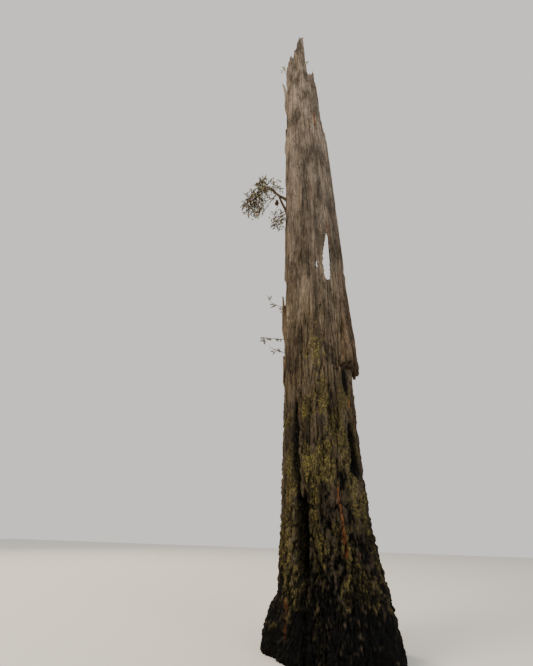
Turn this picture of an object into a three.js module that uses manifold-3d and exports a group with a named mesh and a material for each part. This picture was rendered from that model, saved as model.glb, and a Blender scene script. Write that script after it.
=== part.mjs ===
// A standing dead redwood: a broken, fire-scarred trunk, hollow in its upper part, with one living bough.
// Millimetres, +Z up, the ground at z = 0. The trunk is seen from -Y, with +X to the right.
import * as THREE from "three";
import { mergeVertices } from "three/addons/utils/BufferGeometryUtils.js";
import Module from "manifold-3d";

const wasm = await Module();
wasm.setup();

// Driving dimensions of the trunk.
const stem = {
  halfWidth: 1110, // at the ground, without the flare
  topHalfWidth: 758,
  topHeight: 25300, // above this the spire goes straight up
  depthShare: 0.96, // the trunk is a little flatter from front to back
  offset: 50,
  lean: -220, // how far the axis has moved sideways at topHeight
  flare: 250,
  flareHeight: 2200,
};
const columns = 60;
const lowRows = 22;
const highRows = 22;
const innerRows = 10;
const evenRowsFrom = 8600; // above this height the rows climb to each column's own rim
const hollow = { floor: 9300, dishDepth: 160, dishShare: 0.45, wall: 290, wallSwing: 120, thinning: 0.38 };
const seatGap = 0.35; // between two pieces that touch
const splinterHeight = 140; // how far neighbouring splinters of the rim differ
const rimBevel = 145; // how far the rim's inner edge lies below its outer one

// The root buttresses at the foot: where they stand, how far they reach and how high they rise.
const buttresses = [
  { angle: 184, reach: 300, height: 1080, width: 24, power: 3 },
  { angle: 234, reach: 190, height: 1500, width: 17, power: 1.6 },
  { angle: 288, reach: 250, height: 1700, width: 22, power: 1.6 },
  { angle: 338, reach: 420, height: 2700, width: 22, power: 1.5 },
  { angle: 28, reach: 300, height: 1900, width: 22, power: 1.6 },
  { angle: 80, reach: 260, height: 1500, width: 20, power: 1.6 },
  { angle: 132, reach: 330, height: 2100, width: 24, power: 1.5 },
];

// Hollows burnt or torn into the outside. Each has a steep lip on the side of its greater angle.
const scars = [
  { angle: 238, width: 12, low: 1500, high: 3900, depth: 500 }, // the fire scar
  { angle: 226, width: 11, low: 3300, high: 6000, depth: 130 }, // the charred channel above it
  { angle: 241, width: 8, low: -900, high: 1900, depth: 130 }, // the crease below it
  { angle: 319, width: 10, low: 3700, high: 5200, depth: 230 }, // the burnt pocket on the right
  { angle: 316, width: 10, low: 5800, high: 7000, depth: 100 }, // where the slab has torn away
  { angle: 352, width: 34, low: 4300, high: 7700, depth: 62 }, // the face that it left bare
  { angle: 55, width: 14, low: 600, high: 4200, depth: 160 }, // a crease at the back
  { angle: 112, width: 9, low: 3000, high: 8200, depth: 110 }, // and another one, higher up
];

// Layers of bark that have come off in tall patches, with ribs standing between them. Each follows a noise
// in cells 360 / around degrees wide and rise tall, and is thinner at the foot.
const layers = [
  { around: 14, rise: 2700, seed: 7, depth: 34, footShare: 1 },
  { around: 26, rise: 3600, seed: 12, depth: 30, footShare: 0.4 },
];
const layerEdge = 0.14; // the noise from nothing lost to all lost
const barkLost = { from: 6500, to: 12500 }; // the second layer reaches its depth between these heights

// The height of the broken rim round the trunk, from angle 0 at the right, through the back at 90.
const rim = [
  [0, 23500],
  [14, 22400],
  [21, 19000],
  [26, 14200],
  [31, 11100],
  [45, 10500],
  [56, 10400],
  [68, 10800],
  [78, 11500],
  [86, 13400],
  [92, 17200],
  [102, 19600],
  [118, 20500],
  [132, 22600],
  [150, 23700],
  [168, 25100],
  [180, 26100],
  [200, 26200],
  [213, 25800],
  [220, 25950],
  [226, 26450],
  [233, 26000],
  [240, 26050],
  [246, 26650],
  [252, 26600],
  [264, 27250],
  [270, 27650],
  [276, 27930],
  [282, 28030],
  [290, 28050],
  [294, 25300],
  [300, 23950],
  [306, 24070],
  [318, 24250],
  [330, 24450],
  [336, 24500],
  [342, 24000],
  [360, 23500],
];

// The outer slab that still hangs on the right side.
const slab = {
  low: 6780,
  high: 19900,
  leftAtFoot: -58,
  leftAtTop: -30,
  rightAtFoot: 24,
  rightAtTop: 6,
  thickness: 92,
  footThickness: 150,
  footSpread: 2600,
  loose: 95, // how far its foot stands off the trunk
  looseBelow: 7900,
  tooth: 210,
  rows: 16,
  steps: 16,
};

// The outlines of the window and of the small hole beside it, seen from the front.
const windowOutline = [
  [585, 12160],
  [505, 11690],
  [428, 11310],
  [396, 10990],
  [389, 10510],
  [418, 10065],
  [500, 9930],
  [582, 9900],
  [622, 9965],
  [640, 10500],
  [655, 11200],
  [642, 11900],
];
const smallHoleOutline = [
  [118, 10480],
  [190, 10480],
  [200, 10760],
  [135, 10770],
];
const windowCut = { front: 1500, back: 250, face: 930, slope: 0.8 }; // both cuts climb as they go in

const colours = {
  trunk: 0x4c3c2e,
  slab: 0x5b4634,
  splinter: 0x57483a,
  bough: 0x3f3229,
  deadwood: 0x6a5b4c,
  foliage: 0x56652f,
  shoot: 0x73803a,
};

const radians = THREE.MathUtils.degToRad;
const vector = (x, y, z) => new THREE.Vector3(x, y, z);
const mix = THREE.MathUtils.lerp;
const smooth = THREE.MathUtils.smoothstep;

// A seeded stream of numbers from 0 to 1, the same on every run.
function stream(seed) {
  let state = seed >>> 0;
  return (low = 0, high = 1) => {
    state = (Math.imul(state, 1664525) + 1013904223) >>> 0;
    return low + (high - low) * (state / 4294967296);
  };
}

// The angle from a to b in degrees, from -180 to 180.
const turn = (a, b) => ((((b - a) % 360) + 540) % 360) - 180;

// The value at x on a line through the [x, value] pairs.
function along(pairs, x) {
  const next = pairs.findIndex(([place]) => place > x);
  if (next < 0) return pairs.at(-1)[1];
  if (next === 0) return pairs[0][1];
  const [[a, from], [b, to]] = [pairs[next - 1], pairs[next]];
  return mix(from, to, (x - a) / (b - a));
}

// The trunk's surface.

const axisAt = (z) => stem.offset + stem.lean * Math.min(1, z / stem.topHeight) ** 3;

function halfWidthAt(z) {
  const rise = Math.min(1, z / stem.topHeight) ** 2;
  return mix(stem.halfWidth, stem.topHalfWidth, rise) + stem.flare * Math.exp(-z / stem.flareHeight);
}

function buttressAt(angle, z) {
  return buttresses.reduce((sum, b) => {
    const height = Math.max(0, 1 - (z / b.height) ** b.power);
    return sum + b.reach * height * Math.exp(-((turn(b.angle, angle) / b.width) ** 2));
  }, 0);
}

function scarAt(angle, z) {
  return scars.reduce((sum, s) => {
    const across = turn(s.angle, angle) / s.width;
    const up = (z - s.low) / (s.high - s.low);
    if (Math.abs(across) >= 1 || up <= 0 || up >= 1) return sum;
    const slope = Math.min(1, (1 - across) / 0.35) * smooth(across, -1, 0.5);
    return sum + s.depth * slope * Math.sin(Math.PI * up) ** 0.6;
  }, 0);
}

// Long shallow flutes that wander as they climb.
function fluteAt(angle, z) {
  const a = radians(angle);
  return 20 * Math.sin(7 * a + 0.8 * Math.sin(z / 4100)) + 13 * Math.sin(13 * a + 2 + z / 3300);
}

// Seeded noise on the trunk's side, from about -1 to 1.
function sideNoise({ around, rise, seed }) {
  const random = stream(seed);
  const tall = Math.floor(34000 / rise) + 4;
  const leans = Array.from({ length: tall * around }, () => random(0, 2 * Math.PI));
  const ease = (t) => t * t * t * (t * (t * 6 - 15) + 10);
  return (angle, z) => {
    const [u, v] = [(angle / 360) * around, z / rise + 2];
    const [column, row] = [Math.floor(u), Math.floor(v)];
    const corner = (right, up) => {
      const lean = leans[((row + up) % tall) * around + ((((column + right) % around) + around) % around)];
      return Math.cos(lean) * (u - column - right) + Math.sin(lean) * (v - row - up);
    };
    const across = ease(u - column);
    const low = mix(corner(0, 0), corner(1, 0), across);
    return 1.6 * mix(low, mix(corner(0, 1), corner(1, 1), across), ease(v - row));
  };
}

const layerNoises = layers.map(sideNoise);

function layersAt(angle, z) {
  const lost = smooth(z, barkLost.from, barkLost.to);
  return layers.reduce((sum, { depth, footShare }, i) => {
    const gone = 1 - smooth(layerNoises[i](angle, z), -layerEdge, layerEdge);
    return sum + depth * mix(footShare, 1, lost) * gone;
  }, 0);
}

function radiusAt(angle, z) {
  return halfWidthAt(z) + buttressAt(angle, z) + fluteAt(angle, z) - layersAt(angle, z) - scarAt(angle, z);
}

function surfacePoint(angle, z, proud = 0) {
  const radius = radiusAt(angle, z) + proud;
  const a = radians(angle);
  return vector(axisAt(z) + radius * Math.cos(a), radius * Math.sin(a) * stem.depthShare, z);
}

// Solids.

// The sides of a closed surface through rings of points.
function ringSides(rings) {
  const size = rings[0].length;
  const faces = [];
  for (let i = 0; i < size; i++) {
    for (let r = 0; r + 1 < rings.length; r++) {
      const [a, b] = [r * size + i, r * size + ((i + 1) % size)];
      faces.push(a, b, b + size, a, b + size, a + size);
    }
  }
  return faces;
}

function indexed(points, faces) {
  const geometry = new THREE.BufferGeometry().setFromPoints(points);
  geometry.setIndex(faces);
  return geometry;
}

// A surface through rings, closed by a fan from the centre of each end ring.
function loft(rings) {
  const size = rings[0].length;
  const centre = (ring) => ring.reduce((sum, p) => sum.add(p), vector(0, 0, 0)).divideScalar(size);
  const points = [...rings.flat(), centre(rings[0]), centre(rings.at(-1))];
  const faces = ringSides(rings);
  const top = (rings.length - 1) * size;
  for (let i = 0; i < size; i++) {
    const next = (i + 1) % size;
    faces.push(points.length - 2, next, i, points.length - 1, top + i, top + next);
  }
  return indexed(points, faces);
}

// A surface through rings that each go out along one face and back along the other, as a plank's do.
function loftPlank(rings) {
  const size = rings[0].length;
  const faces = ringSides(rings);
  const top = (rings.length - 1) * size;
  for (let i = 0; i + 1 < size / 2; i++) {
    const [a, b, c, d] = [i, i + 1, size - 2 - i, size - 1 - i];
    faces.push(b, a, d, b, d, c, top + a, top + b, top + c, top + a, top + c, top + d);
  }
  return indexed(rings.flat(), faces);
}

function toSolid(geometry) {
  geometry.deleteAttribute("normal");
  geometry.deleteAttribute("uv");
  const merged = mergeVertices(geometry, 1e-3);
  return new wasm.Manifold(
    new wasm.Mesh({
      numProp: 3,
      vertProperties: merged.attributes.position.array,
      triVerts: new Uint32Array(merged.index.array),
    }),
  );
}

// The largest body of a solid: loose scraps and sealed hollows are dropped.
function largestBody(solid) {
  return solid.decompose().reduce((best, body) => (body.volume() > best.volume() ? body : best));
}

function toMesh(name, solid, colour, roughness = 0.9) {
  const { vertProperties, triVerts, numProp } = largestBody(solid).getMesh();
  const geometry = new THREE.BufferGeometry();
  geometry.setAttribute("position", new THREE.BufferAttribute(new Float32Array(vertProperties), numProp));
  geometry.setIndex(new THREE.BufferAttribute(new Uint32Array(triVerts), 1));
  geometry.computeVertexNormals();
  const material = new THREE.MeshStandardMaterial({ color: colour, roughness, metalness: 0 });
  const mesh = new THREE.Mesh(geometry, material);
  mesh.name = name;
  return mesh;
}

// An outline in the front view, cut from front to back. It is true to size at the trunk's face.
function frontCut(outline) {
  const { front, back, face, slope } = windowCut;
  const shape = new THREE.Shape(outline.map(([x, z]) => new THREE.Vector2(x, z)));
  const geometry = new THREE.ExtrudeGeometry(shape, { depth: front - back, bevelEnabled: false });
  const climb = new THREE.Matrix4().makeShear(0, 0, 0, slope, 0, 0);
  geometry.rotateX(Math.PI / 2).translate(0, -back, 0);
  return toSolid(geometry.applyMatrix4(climb).translate(0, 0, slope * face));
}

// The trunk.

const rimJitter = (() => {
  const random = stream(11);
  return Array.from({ length: columns }, (_, i) => (i % 2 ? -1 : 0.35) * random(0.35, 1) * splinterHeight);
})();

const rimAt = (column) => along(rim, (column * 360) / columns) + rimJitter[column];

function wallAt(angle, z) {
  const thin = 1 - hollow.thinning * smooth(z, hollow.floor, stem.topHeight);
  return (hollow.wall - hollow.wallSwing * Math.cos(radians(angle))) * thin;
}

function trunkRings(proud) {
  const ring = (point) => Array.from({ length: columns }, (_, c) => point(c, (c * 360) / columns));
  const rings = [];
  for (let row = 0; row <= lowRows; row++) {
    const z = evenRowsFrom * (row / lowRows) ** 1.6;
    rings.push(ring((c, angle) => surfacePoint(angle, z, proud)));
  }
  for (let row = 1; row <= highRows; row++)
    rings.push(ring((c, angle) => surfacePoint(angle, mix(evenRowsFrom, rimAt(c), row / highRows), proud)));
  for (let row = 0; row <= innerRows; row++)
    rings.push(
      ring((c, angle) => {
        const z = mix(rimAt(c) - rimBevel, hollow.floor, row / innerRows);
        return surfacePoint(angle, z, -wallAt(angle, z));
      }),
    );
  const dish = hollow.floor - hollow.dishDepth;
  rings.push(ring((c, angle) => surfacePoint(angle, dish, -radiusAt(angle, dish) * (1 - hollow.dishShare))));
  return rings;
}

const trunkWhole = toSolid(loft(trunkRings(0)));
const trunkSolid = trunkWhole.subtract(frontCut(windowOutline)).subtract(frontCut(smallHoleOutline));
const trunkGrown = toSolid(loft(trunkRings(seatGap)));

// The slab and the splinters that lie on the trunk.

function slabSolid() {
  const random = stream(23);
  const tooth = (i) => (i % 2 ? 1 : -0.2) * random(0.4, 1) * slab.tooth;
  const teeth = Array.from({ length: slab.steps + 1 }, (_, i) => tooth(i));
  const point = (step, row, outside) => {
    const share = step / slab.steps;
    const foot = slab.low + teeth[step];
    const z = mix(foot, slab.high, (row / slab.rows) ** 1.35);
    const up = Math.max(0, (z - slab.low) / (slab.high - slab.low));
    const left = mix(slab.leftAtFoot, slab.leftAtTop, Math.min(1, up * 3.2) ** 0.5);
    const angle = mix(left, mix(slab.rightAtFoot, slab.rightAtTop, up), share);
    const edge = Math.min(1, 4 * Math.min(share, 1 - share) + 0.35);
    const top = mix(0.12, 1, smooth(1 - up, 0, 0.1));
    const thickness = (slab.thickness + slab.footThickness * Math.exp((slab.low - z) / slab.footSpread)) * edge * top;
    const loose = slab.loose * smooth(slab.looseBelow - z, 0, slab.looseBelow - slab.low) * smooth(share, 0.35, 0.8);
    const inside = loose > 1 ? loose : -70;
    return surfacePoint(angle, z, outside ? Math.max(loose + 30, thickness) : inside);
  };
  // Each ring runs up the outside from the left edge to the right one and back along the inside.
  const rings = Array.from({ length: slab.rows + 1 }, (_, row) => {
    const outer = Array.from({ length: slab.steps + 1 }, (_, step) => point(step, row, true));
    const inner = Array.from({ length: slab.steps + 1 }, (_, step) => point(slab.steps - step, row, false));
    return [...outer, ...inner];
  });
  return toSolid(loftPlank(rings)).subtract(trunkGrown);
}

// A splinter that lies on the trunk at its foot and stands off it at its tip.
function splinterSolid({ angle, low, high, width, thickness, stand }) {
  const rows = 8;
  const rings = Array.from({ length: rows + 1 }, (_, row) => {
    const up = row / rows;
    const z = mix(low, high, up);
    const half = (width / 2) * (1 - 0.9 * up ** 2.2);
    const reach = stand * up ** 3;
    const deep = mix(thickness, thickness * 0.35, up ** 2);
    const spread = (half / radiusAt(angle, z)) * (180 / Math.PI);
    const inner = up < 0.6 ? -60 : reach;
    return [
      surfacePoint(angle - spread, z, reach + deep * 0.4),
      surfacePoint(angle, z, reach + deep),
      surfacePoint(angle + spread, z, reach + deep * 0.4),
      surfacePoint(angle + spread, z, inner),
      surfacePoint(angle - spread, z, inner),
    ];
  });
  return toSolid(loft(rings)).subtract(trunkGrown);
}

// Boughs.

// A tapering limb along a smooth line through the points, grown by proud all round and at its tip.
function limbSolid({ points, thick, thin, sides = 8, steps = 9 }, proud = 0) {
  const line = points.map((p) => vector(...p));
  const [before, tip] = line.slice(-2);
  tip.addScaledVector(tip.clone().sub(before).normalize(), proud);
  const curve = new THREE.CatmullRomCurve3(line);
  const frames = curve.computeFrenetFrames(steps);
  const rings = Array.from({ length: steps + 1 }, (_, i) => {
    const centre = curve.getPointAt(i / steps);
    const radius = mix(thick, thin, i / steps) + proud;
    return Array.from({ length: sides }, (_, s) => {
      const a = (2 * Math.PI * s) / sides;
      return centre
        .clone()
        .addScaledVector(frames.normals[i], radius * Math.cos(a))
        .addScaledVector(frames.binormals[i], radius * Math.sin(a));
    });
  });
  return toSolid(loft(rings));
}

const boughs = {
  bough_outer: {
    points: [
      [-890, -30, 14960],
      [-1120, -80, 15133],
      [-1271, -120, 15235],
      [-1442, -180, 15374],
      [-1595, -220, 15504],
    ],
    thick: 68,
    thin: 34,
  },
  bough_lower: {
    points: [
      [-900, 10, 14180],
      [-1046, 0, 14600],
      [-1143, -45, 14834],
      [-1265, -110, 15190],
    ],
    thick: 60,
    thin: 46,
  },
  bough_upper: {
    points: [
      [-1415, -170, 15340],
      [-1455, -155, 15480],
      [-1540, -135, 15640],
    ],
    thick: 34,
    thin: 22,
    sides: 6,
    steps: 4,
  },
};

// Two dead twigs that hang in a fork from the underside of the bough.
const deadTwigs = [
  {
    points: [
      [-1375, -160, 15290],
      [-1487, -250, 14960],
      [-1700, -350, 14460],
      [-1940, -450, 13800],
    ],
    thick: 24,
    thin: 10,
    sides: 5,
    steps: 6,
  },
  {
    points: [
      [-1410, -195, 15170],
      [-1560, -160, 15060],
      [-1800, -110, 14960],
      [-2050, -80, 14700],
    ],
    thick: 14,
    thin: 7,
    sides: 5,
    steps: 6,
  },
];

// A clump of dead leaves that hangs from the underside of the bough on a short stalk.
const clump = {
  top: [-1335, -165, 15260],
  foot: [-1356, -235, 14530],
  profile: [
    [0, 9],
    [0.5, 9],
    [0.6, 62],
    [0.74, 102],
    [0.88, 84],
    [1, 26],
  ],
  sides: 9,
};

function clumpSolid() {
  const random = stream(5);
  const rings = clump.profile.map(([share, radius]) => {
    const centre = vector(...clump.top).lerp(vector(...clump.foot), share);
    return Array.from({ length: clump.sides }, (_, s) => {
      const a = (-2 * Math.PI * s) / clump.sides;
      const reach = radius * (radius > 20 ? random(0.82, 1.1) : 1);
      return centre.clone().add(vector(reach * Math.cos(a), reach * Math.sin(a), 0));
    });
  });
  return toSolid(loft(rings));
}

// Foliage.

// Each mass grows from a stem that leaves its bough's tip, or the trunk. Side twigs leave the stem left and
// right in turn, and flat sprays of needles leave the twigs the same way. Nothing leaves the mass's space.
const foliage = {
  foliage_upper: {
    seed: 101,
    from: "bough_upper",
    aim: [-0.66, 0.02, 0.56],
    length: 1040,
    droop: 0.26,
    twigs: 17,
    twigShare: 0.46,
    sprays: 4,
    spray: 215,
    centre: [-1720, -110, 15790],
    reach: [760, 480, 720],
  },
  foliage_outer: {
    seed: 202,
    from: "bough_outer",
    aim: [-0.86, -0.16, 0.12],
    length: 1330,
    droop: 1.05,
    twigs: 25,
    twigShare: 0.52,
    sprays: 4,
    spray: 225,
    centre: [-2290, -400, 14560],
    reach: [660, 600, 860],
  },
  foliage_hanging: {
    seed: 303,
    root: [192, 14100],
    aim: [-0.42, -0.25, -0.5],
    length: 1150,
    droop: 0.42,
    twigs: 14,
    twigShare: 0.3,
    sprays: 3,
    spray: 175,
    centre: [-1290, -330, 13560],
    reach: [380, 380, 780],
  },
  shoot_left_a: {
    seed: 404,
    root: [197, 9350],
    aim: [-1, -0.12, -0.22],
    length: 720,
    droop: -0.6,
    twigs: 4,
    twigShare: 0.3,
    sprays: 2,
    spray: 138,
  },
  shoot_left_b: {
    seed: 505,
    root: [199, 8030],
    aim: [-0.98, -0.12, -0.02],
    length: 860,
    droop: -0.08,
    twigs: 5,
    twigShare: 0.2,
    sprays: 2,
    spray: 150,
  },
  shoot_left_c: {
    seed: 606,
    root: [203, 7450],
    aim: [-0.86, -0.15, 0.36],
    length: 560,
    droop: 0.05,
    twigs: 4,
    twigShare: 0.24,
    sprays: 1,
    spray: 130,
  },
  shoot_rim_left: {
    seed: 707,
    root: [190, 25350],
    aim: [-0.72, -0.3, 0.62],
    length: 360,
    droop: 0.1,
    twigs: 5,
    twigShare: 0.5,
    sprays: 2,
    spray: 130,
  },
  shoot_rim_right: {
    seed: 808,
    root: [292, 24700],
    aim: [0.55, -0.35, 0.75],
    length: 250,
    droop: 0.1,
    twigs: 4,
    twigShare: 0.45,
    sprays: 1,
    spray: 110,
  },
};
const sprayWidth = 0.34; // of its length
const sprayThickness = 0.05;
const limbRoom = 75; // between the line of a limb and the sprays that pass it

const limbLines = [...Object.values(boughs), ...deadTwigs, { points: [clump.top, clump.foot] }].flatMap(({ points }) =>
  points.slice(1).map((end, i) => new THREE.Line3(vector(...points[i]), vector(...end))),
);

// Whether a line of growth stays in its mass's space and passes clear of the trunk and the limbs.
function hasRoom(mass, from, to) {
  return [0.35, 0.7, 1].every((share) => {
    const point = from.clone().lerp(to, share);
    const beside = Math.hypot(point.x - axisAt(point.z), point.y / stem.depthShare);
    const angle = (Math.atan2(point.y / stem.depthShare, point.x - axisAt(point.z)) * 180) / Math.PI;
    if (beside < radiusAt(angle, point.z) + 25) return false;
    const near = vector();
    const limbNear = limbLines.some((l) => l.closestPointToPoint(point, true, near).distanceTo(point) < limbRoom);
    if (limbNear || !mass.centre) return !limbNear;
    return point.sub(vector(...mass.centre)).divide(vector(...mass.reach)).length() < 1;
  });
}

// A three-sided twig that tapers along its points.
function twigSolid(points, thick, thin) {
  const rings = points.map((centre, i) => {
    const after = points[Math.min(i + 1, points.length - 1)];
    const before = points[Math.max(i - 1, 0)];
    const ahead = after.clone().sub(before).normalize();
    const side = vector(0, 0, 1).cross(ahead);
    if (side.lengthSq() < 1e-4) side.set(1, 0, 0);
    side.normalize();
    const up = ahead.clone().cross(side);
    const radius = mix(thick, thin, i / (points.length - 1));
    return [90, 210, 330].map((a) =>
      centre
        .clone()
        .addScaledVector(side, radius * Math.cos(radians(a)))
        .addScaledVector(up, radius * Math.sin(radians(a))),
    );
  });
  return toSolid(loft(rings));
}

// A spray of needles as a flat blade of eight faces.
function spraySolid(root, ahead, flat, length) {
  const across = flat.clone().cross(ahead).normalize();
  const middle = root.clone().addScaledVector(ahead, length * 0.45);
  const place = (direction, distance) => middle.clone().addScaledVector(direction, distance);
  const wide = (length * sprayWidth) / 2;
  const thick = (length * sprayThickness) / 2;
  const ring = [place(across, wide), place(flat, thick), place(across, -wide), place(flat, -thick)];
  const points = [root, ...ring, root.clone().addScaledVector(ahead, length)];
  const faces = [0, 1, 2, 3].flatMap((i) => {
    const [a, b] = [1 + i, 1 + ((i + 1) % 4)];
    return [0, b, a, 5, a, b];
  });
  return toSolid(indexed(points, faces));
}

// A point on a line that leaves root along aim and sags, or climbs where droop is negative.
function sagging(root, aim, length, droop, share) {
  const sag = vector(0, 0, -droop * length * share * share);
  return root.clone().addScaledVector(aim, length * share).add(sag);
}

// Aim turned to one side by some degrees, and tilted up or down.
function sideways(aim, degrees, tilt) {
  const level = vector(0, 0, 1).cross(aim);
  if (level.lengthSq() < 1e-4) level.set(1, 0, 0);
  level.normalize();
  const lift = aim.clone().cross(level).normalize();
  const turned = aim.clone().multiplyScalar(Math.cos(radians(degrees)));
  turned.addScaledVector(level, Math.sin(radians(degrees)));
  return turned.addScaledVector(lift, tilt).normalize();
}

function massRoot(mass) {
  if (!mass.from) return surfacePoint(mass.root[0], mass.root[1], -30);
  const [before, tip] = boughs[mass.from].points.slice(-2).map((p) => vector(...p));
  return tip.addScaledVector(tip.clone().sub(before).normalize(), -10);
}

function massSolid(mass) {
  const random = stream(mass.seed);
  const aim = vector(...mass.aim).normalize();
  const root = massRoot(mass);
  const stemAt = (share) => sagging(root, aim, mass.length, mass.droop, share);
  const stemPoints = [0, 0.2, 0.4, 0.6, 0.8, 1].map(stemAt);
  const pieces = [twigSolid(stemPoints, mass.length * 0.012 + 6, 5)];
  for (let t = 0; t < mass.twigs; t++) {
    const share = mix(0.14, 0.98, (t + random(0.1, 0.9)) / mass.twigs);
    const heading = stemAt(share + 0.02).sub(stemAt(share - 0.02)).normalize();
    const twigAim = sideways(heading, (t % 2 ? 1 : -1) * random(28, 72), random(-0.65, 0.75));
    const twigLength = mass.length * mass.twigShare * (1.1 - 0.5 * share) * random(0.7, 1.2);
    const start = stemAt(share);
    const twigAt = (s) => sagging(start, twigAim, twigLength, 0.2, s);
    const kept = hasRoom(mass, start, twigAt(1));
    if (kept) pieces.push(twigSolid([0, 0.5, 1].map(twigAt), 8, 4));
    for (let s = 0; s <= mass.sprays; s++) {
      const from = twigAt(mix(0.3, 1, s / mass.sprays) - 0.02);
      const sprayAim = sideways(twigAim, (s % 2 ? 1 : -1) * random(15, 55), random(-0.45, 0.35));
      const length = mass.spray * random(0.75, 1.2);
      const flat = vector(0, 0, 1).cross(sprayAim).cross(sprayAim).negate();
      flat.applyAxisAngle(sprayAim, random(-0.8, 0.8)).normalize();
      const end = from.clone().addScaledVector(sprayAim, length);
      if (kept && hasRoom(mass, from, end)) pieces.push(spraySolid(from, sprayAim, flat, length));
    }
  }
  return wasm.Manifold.union(pieces);
}

// The tree.

const splinters = {
  splinter_upper_left: { angle: 184, low: 21300, high: 24320, width: 280, thickness: 125, stand: 190 },
  splinter_high_left: { angle: 182, low: 18100, high: 20150, width: 240, thickness: 85, stand: 50 },
  splinter_middle_left: { angle: 181, low: 8250, high: 9920, width: 420, thickness: 85, stand: 90 },
  splinter_lower_left: { angle: 184, low: 6400, high: 7530, width: 330, thickness: 75, stand: 30 },
};

const tree = new THREE.Group();
tree.add(toMesh("trunk", trunkSolid, colours.trunk));
tree.add(toMesh("slab_right", slabSolid(), colours.slab));
for (const [name, shape] of Object.entries(splinters))
  tree.add(toMesh(name, splinterSolid(shape), colours.splinter));

const mainGrown = limbSolid(boughs.bough_outer, seatGap);
for (const [name, shape] of Object.entries(boughs)) {
  const limb = limbSolid(shape).subtract(trunkGrown);
  tree.add(toMesh(name, name === "bough_outer" ? limb : limb.subtract(mainGrown), colours.bough));
}
const deadFork = wasm.Manifold.union(deadTwigs.map((shape) => limbSolid(shape)));
tree.add(toMesh("dead_twigs", deadFork.subtract(mainGrown), colours.deadwood));
tree.add(toMesh("dead_clump", clumpSolid().subtract(mainGrown), colours.deadwood));

for (const [name, mass] of Object.entries(foliage)) {
  const carrier = mass.from ? limbSolid(boughs[mass.from], seatGap) : trunkGrown;
  const colour = name.startsWith("shoot") ? colours.shoot : colours.foliage;
  tree.add(toMesh(name, massSolid(mass).subtract(carrier), colour, 0.75));
}

export default tree;
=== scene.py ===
import math
import bpy
import numpy as np
from mathutils import Matrix, Quaternion, Vector


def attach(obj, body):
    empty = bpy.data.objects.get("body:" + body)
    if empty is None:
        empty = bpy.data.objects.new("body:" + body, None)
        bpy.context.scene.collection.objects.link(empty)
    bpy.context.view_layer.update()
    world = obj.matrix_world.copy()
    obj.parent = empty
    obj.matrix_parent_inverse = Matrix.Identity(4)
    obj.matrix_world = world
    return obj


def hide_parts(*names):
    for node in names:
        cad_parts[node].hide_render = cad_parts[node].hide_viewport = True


# A standing dead redwood, in metres, +Z up, seen from -Y. The trunk, the slab, the splinters and the boughs
# follow the rules of the solids they replace, with the relief of bark and burnt wood added, mostly inwards.

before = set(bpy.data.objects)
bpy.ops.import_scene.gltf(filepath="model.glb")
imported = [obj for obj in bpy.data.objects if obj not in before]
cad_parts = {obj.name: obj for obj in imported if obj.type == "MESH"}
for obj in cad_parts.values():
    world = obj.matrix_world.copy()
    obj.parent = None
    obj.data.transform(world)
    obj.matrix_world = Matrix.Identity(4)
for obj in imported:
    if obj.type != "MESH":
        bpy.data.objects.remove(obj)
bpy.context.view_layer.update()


# Small tools

def srgb(code):
    parts = [int(code[i:i + 2], 16) / 255 for i in (1, 3, 5)]
    return (*[p / 12.92 if p <= 0.04045 else ((p + 0.055) / 1.055) ** 2.4 for p in parts], 1.0)


# Adds a node with its settings, its inputs' values or links, and the stops of its colour ramp.
def addNode(tree, kind, inputs=None, stops=None, **settings):
    node = tree.nodes.new(kind)
    for name, value in settings.items():
        setattr(node, name, value)
    for place, value in (inputs or {}).items():
        if isinstance(value, bpy.types.NodeSocket):
            tree.links.new(value, node.inputs[place])
        else:
            node.inputs[place].default_value = value
    if stops:
        elements = node.color_ramp.elements
        elements.remove(elements[1])
        for i, (place, code) in enumerate(stops):
            element = elements[0] if i == 0 else elements.new(place)
            element.position = place
            element.color = srgb(code)
    return node


# A seeded stream of numbers, the same one that the solids' source draws from.
def numberStream(seed):
    state = [seed]

    def draw(low=0.0, high=1.0):
        state[0] = (state[0] * 1664525 + 1013904223) % 4294967296
        return low + (high - low) * state[0] / 4294967296
    return draw


def mix(a, b, share):
    return a + (b - a) * share


def smooth(x, low, high):
    t = np.clip((x - low) / (high - low), 0, 1)
    return t * t * (3 - 2 * t)


# The angle from a to b in degrees, from -180 to 180.
def turn(a, b):
    return (b - a + 180) % 360 - 180


noiseHeight = 34  # metres of trunk that the cells of noise reach up
leanings = {}  # the slopes of each noise, kept once they are drawn


# Noise on the trunk's side, from about -1 to 1, in cells 360/around degrees wide and rise metres tall.
def grain(angle, z, around, rise, seed):
    tall = int(noiseHeight / rise) + 4
    if (tall, around, seed) not in leanings:
        draw = numberStream(seed)
        slopes = [draw(0, 2 * math.pi) for _ in range(tall * around)]
        leanings[tall, around, seed] = np.reshape(slopes, (tall, around))
    leaning = leanings[tall, around, seed]
    u, v = angle / 360 * around, z / rise + 2
    column, row = np.floor(u).astype(int), np.floor(v).astype(int)
    fromLeft, fromBelow = u - column, v - row

    def corner(right, up):
        lean = leaning[(row + up) % tall, (column + right) % around]
        return np.cos(lean) * (fromLeft - right) + np.sin(lean) * (fromBelow - up)
    across, rising = [t * t * t * (t * (t * 6 - 15) + 10) for t in (fromLeft, fromBelow)]
    low = mix(corner(0, 0), corner(1, 0), across)
    return 1.6 * mix(low, mix(corner(0, 1), corner(1, 1), across), rising)


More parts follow.
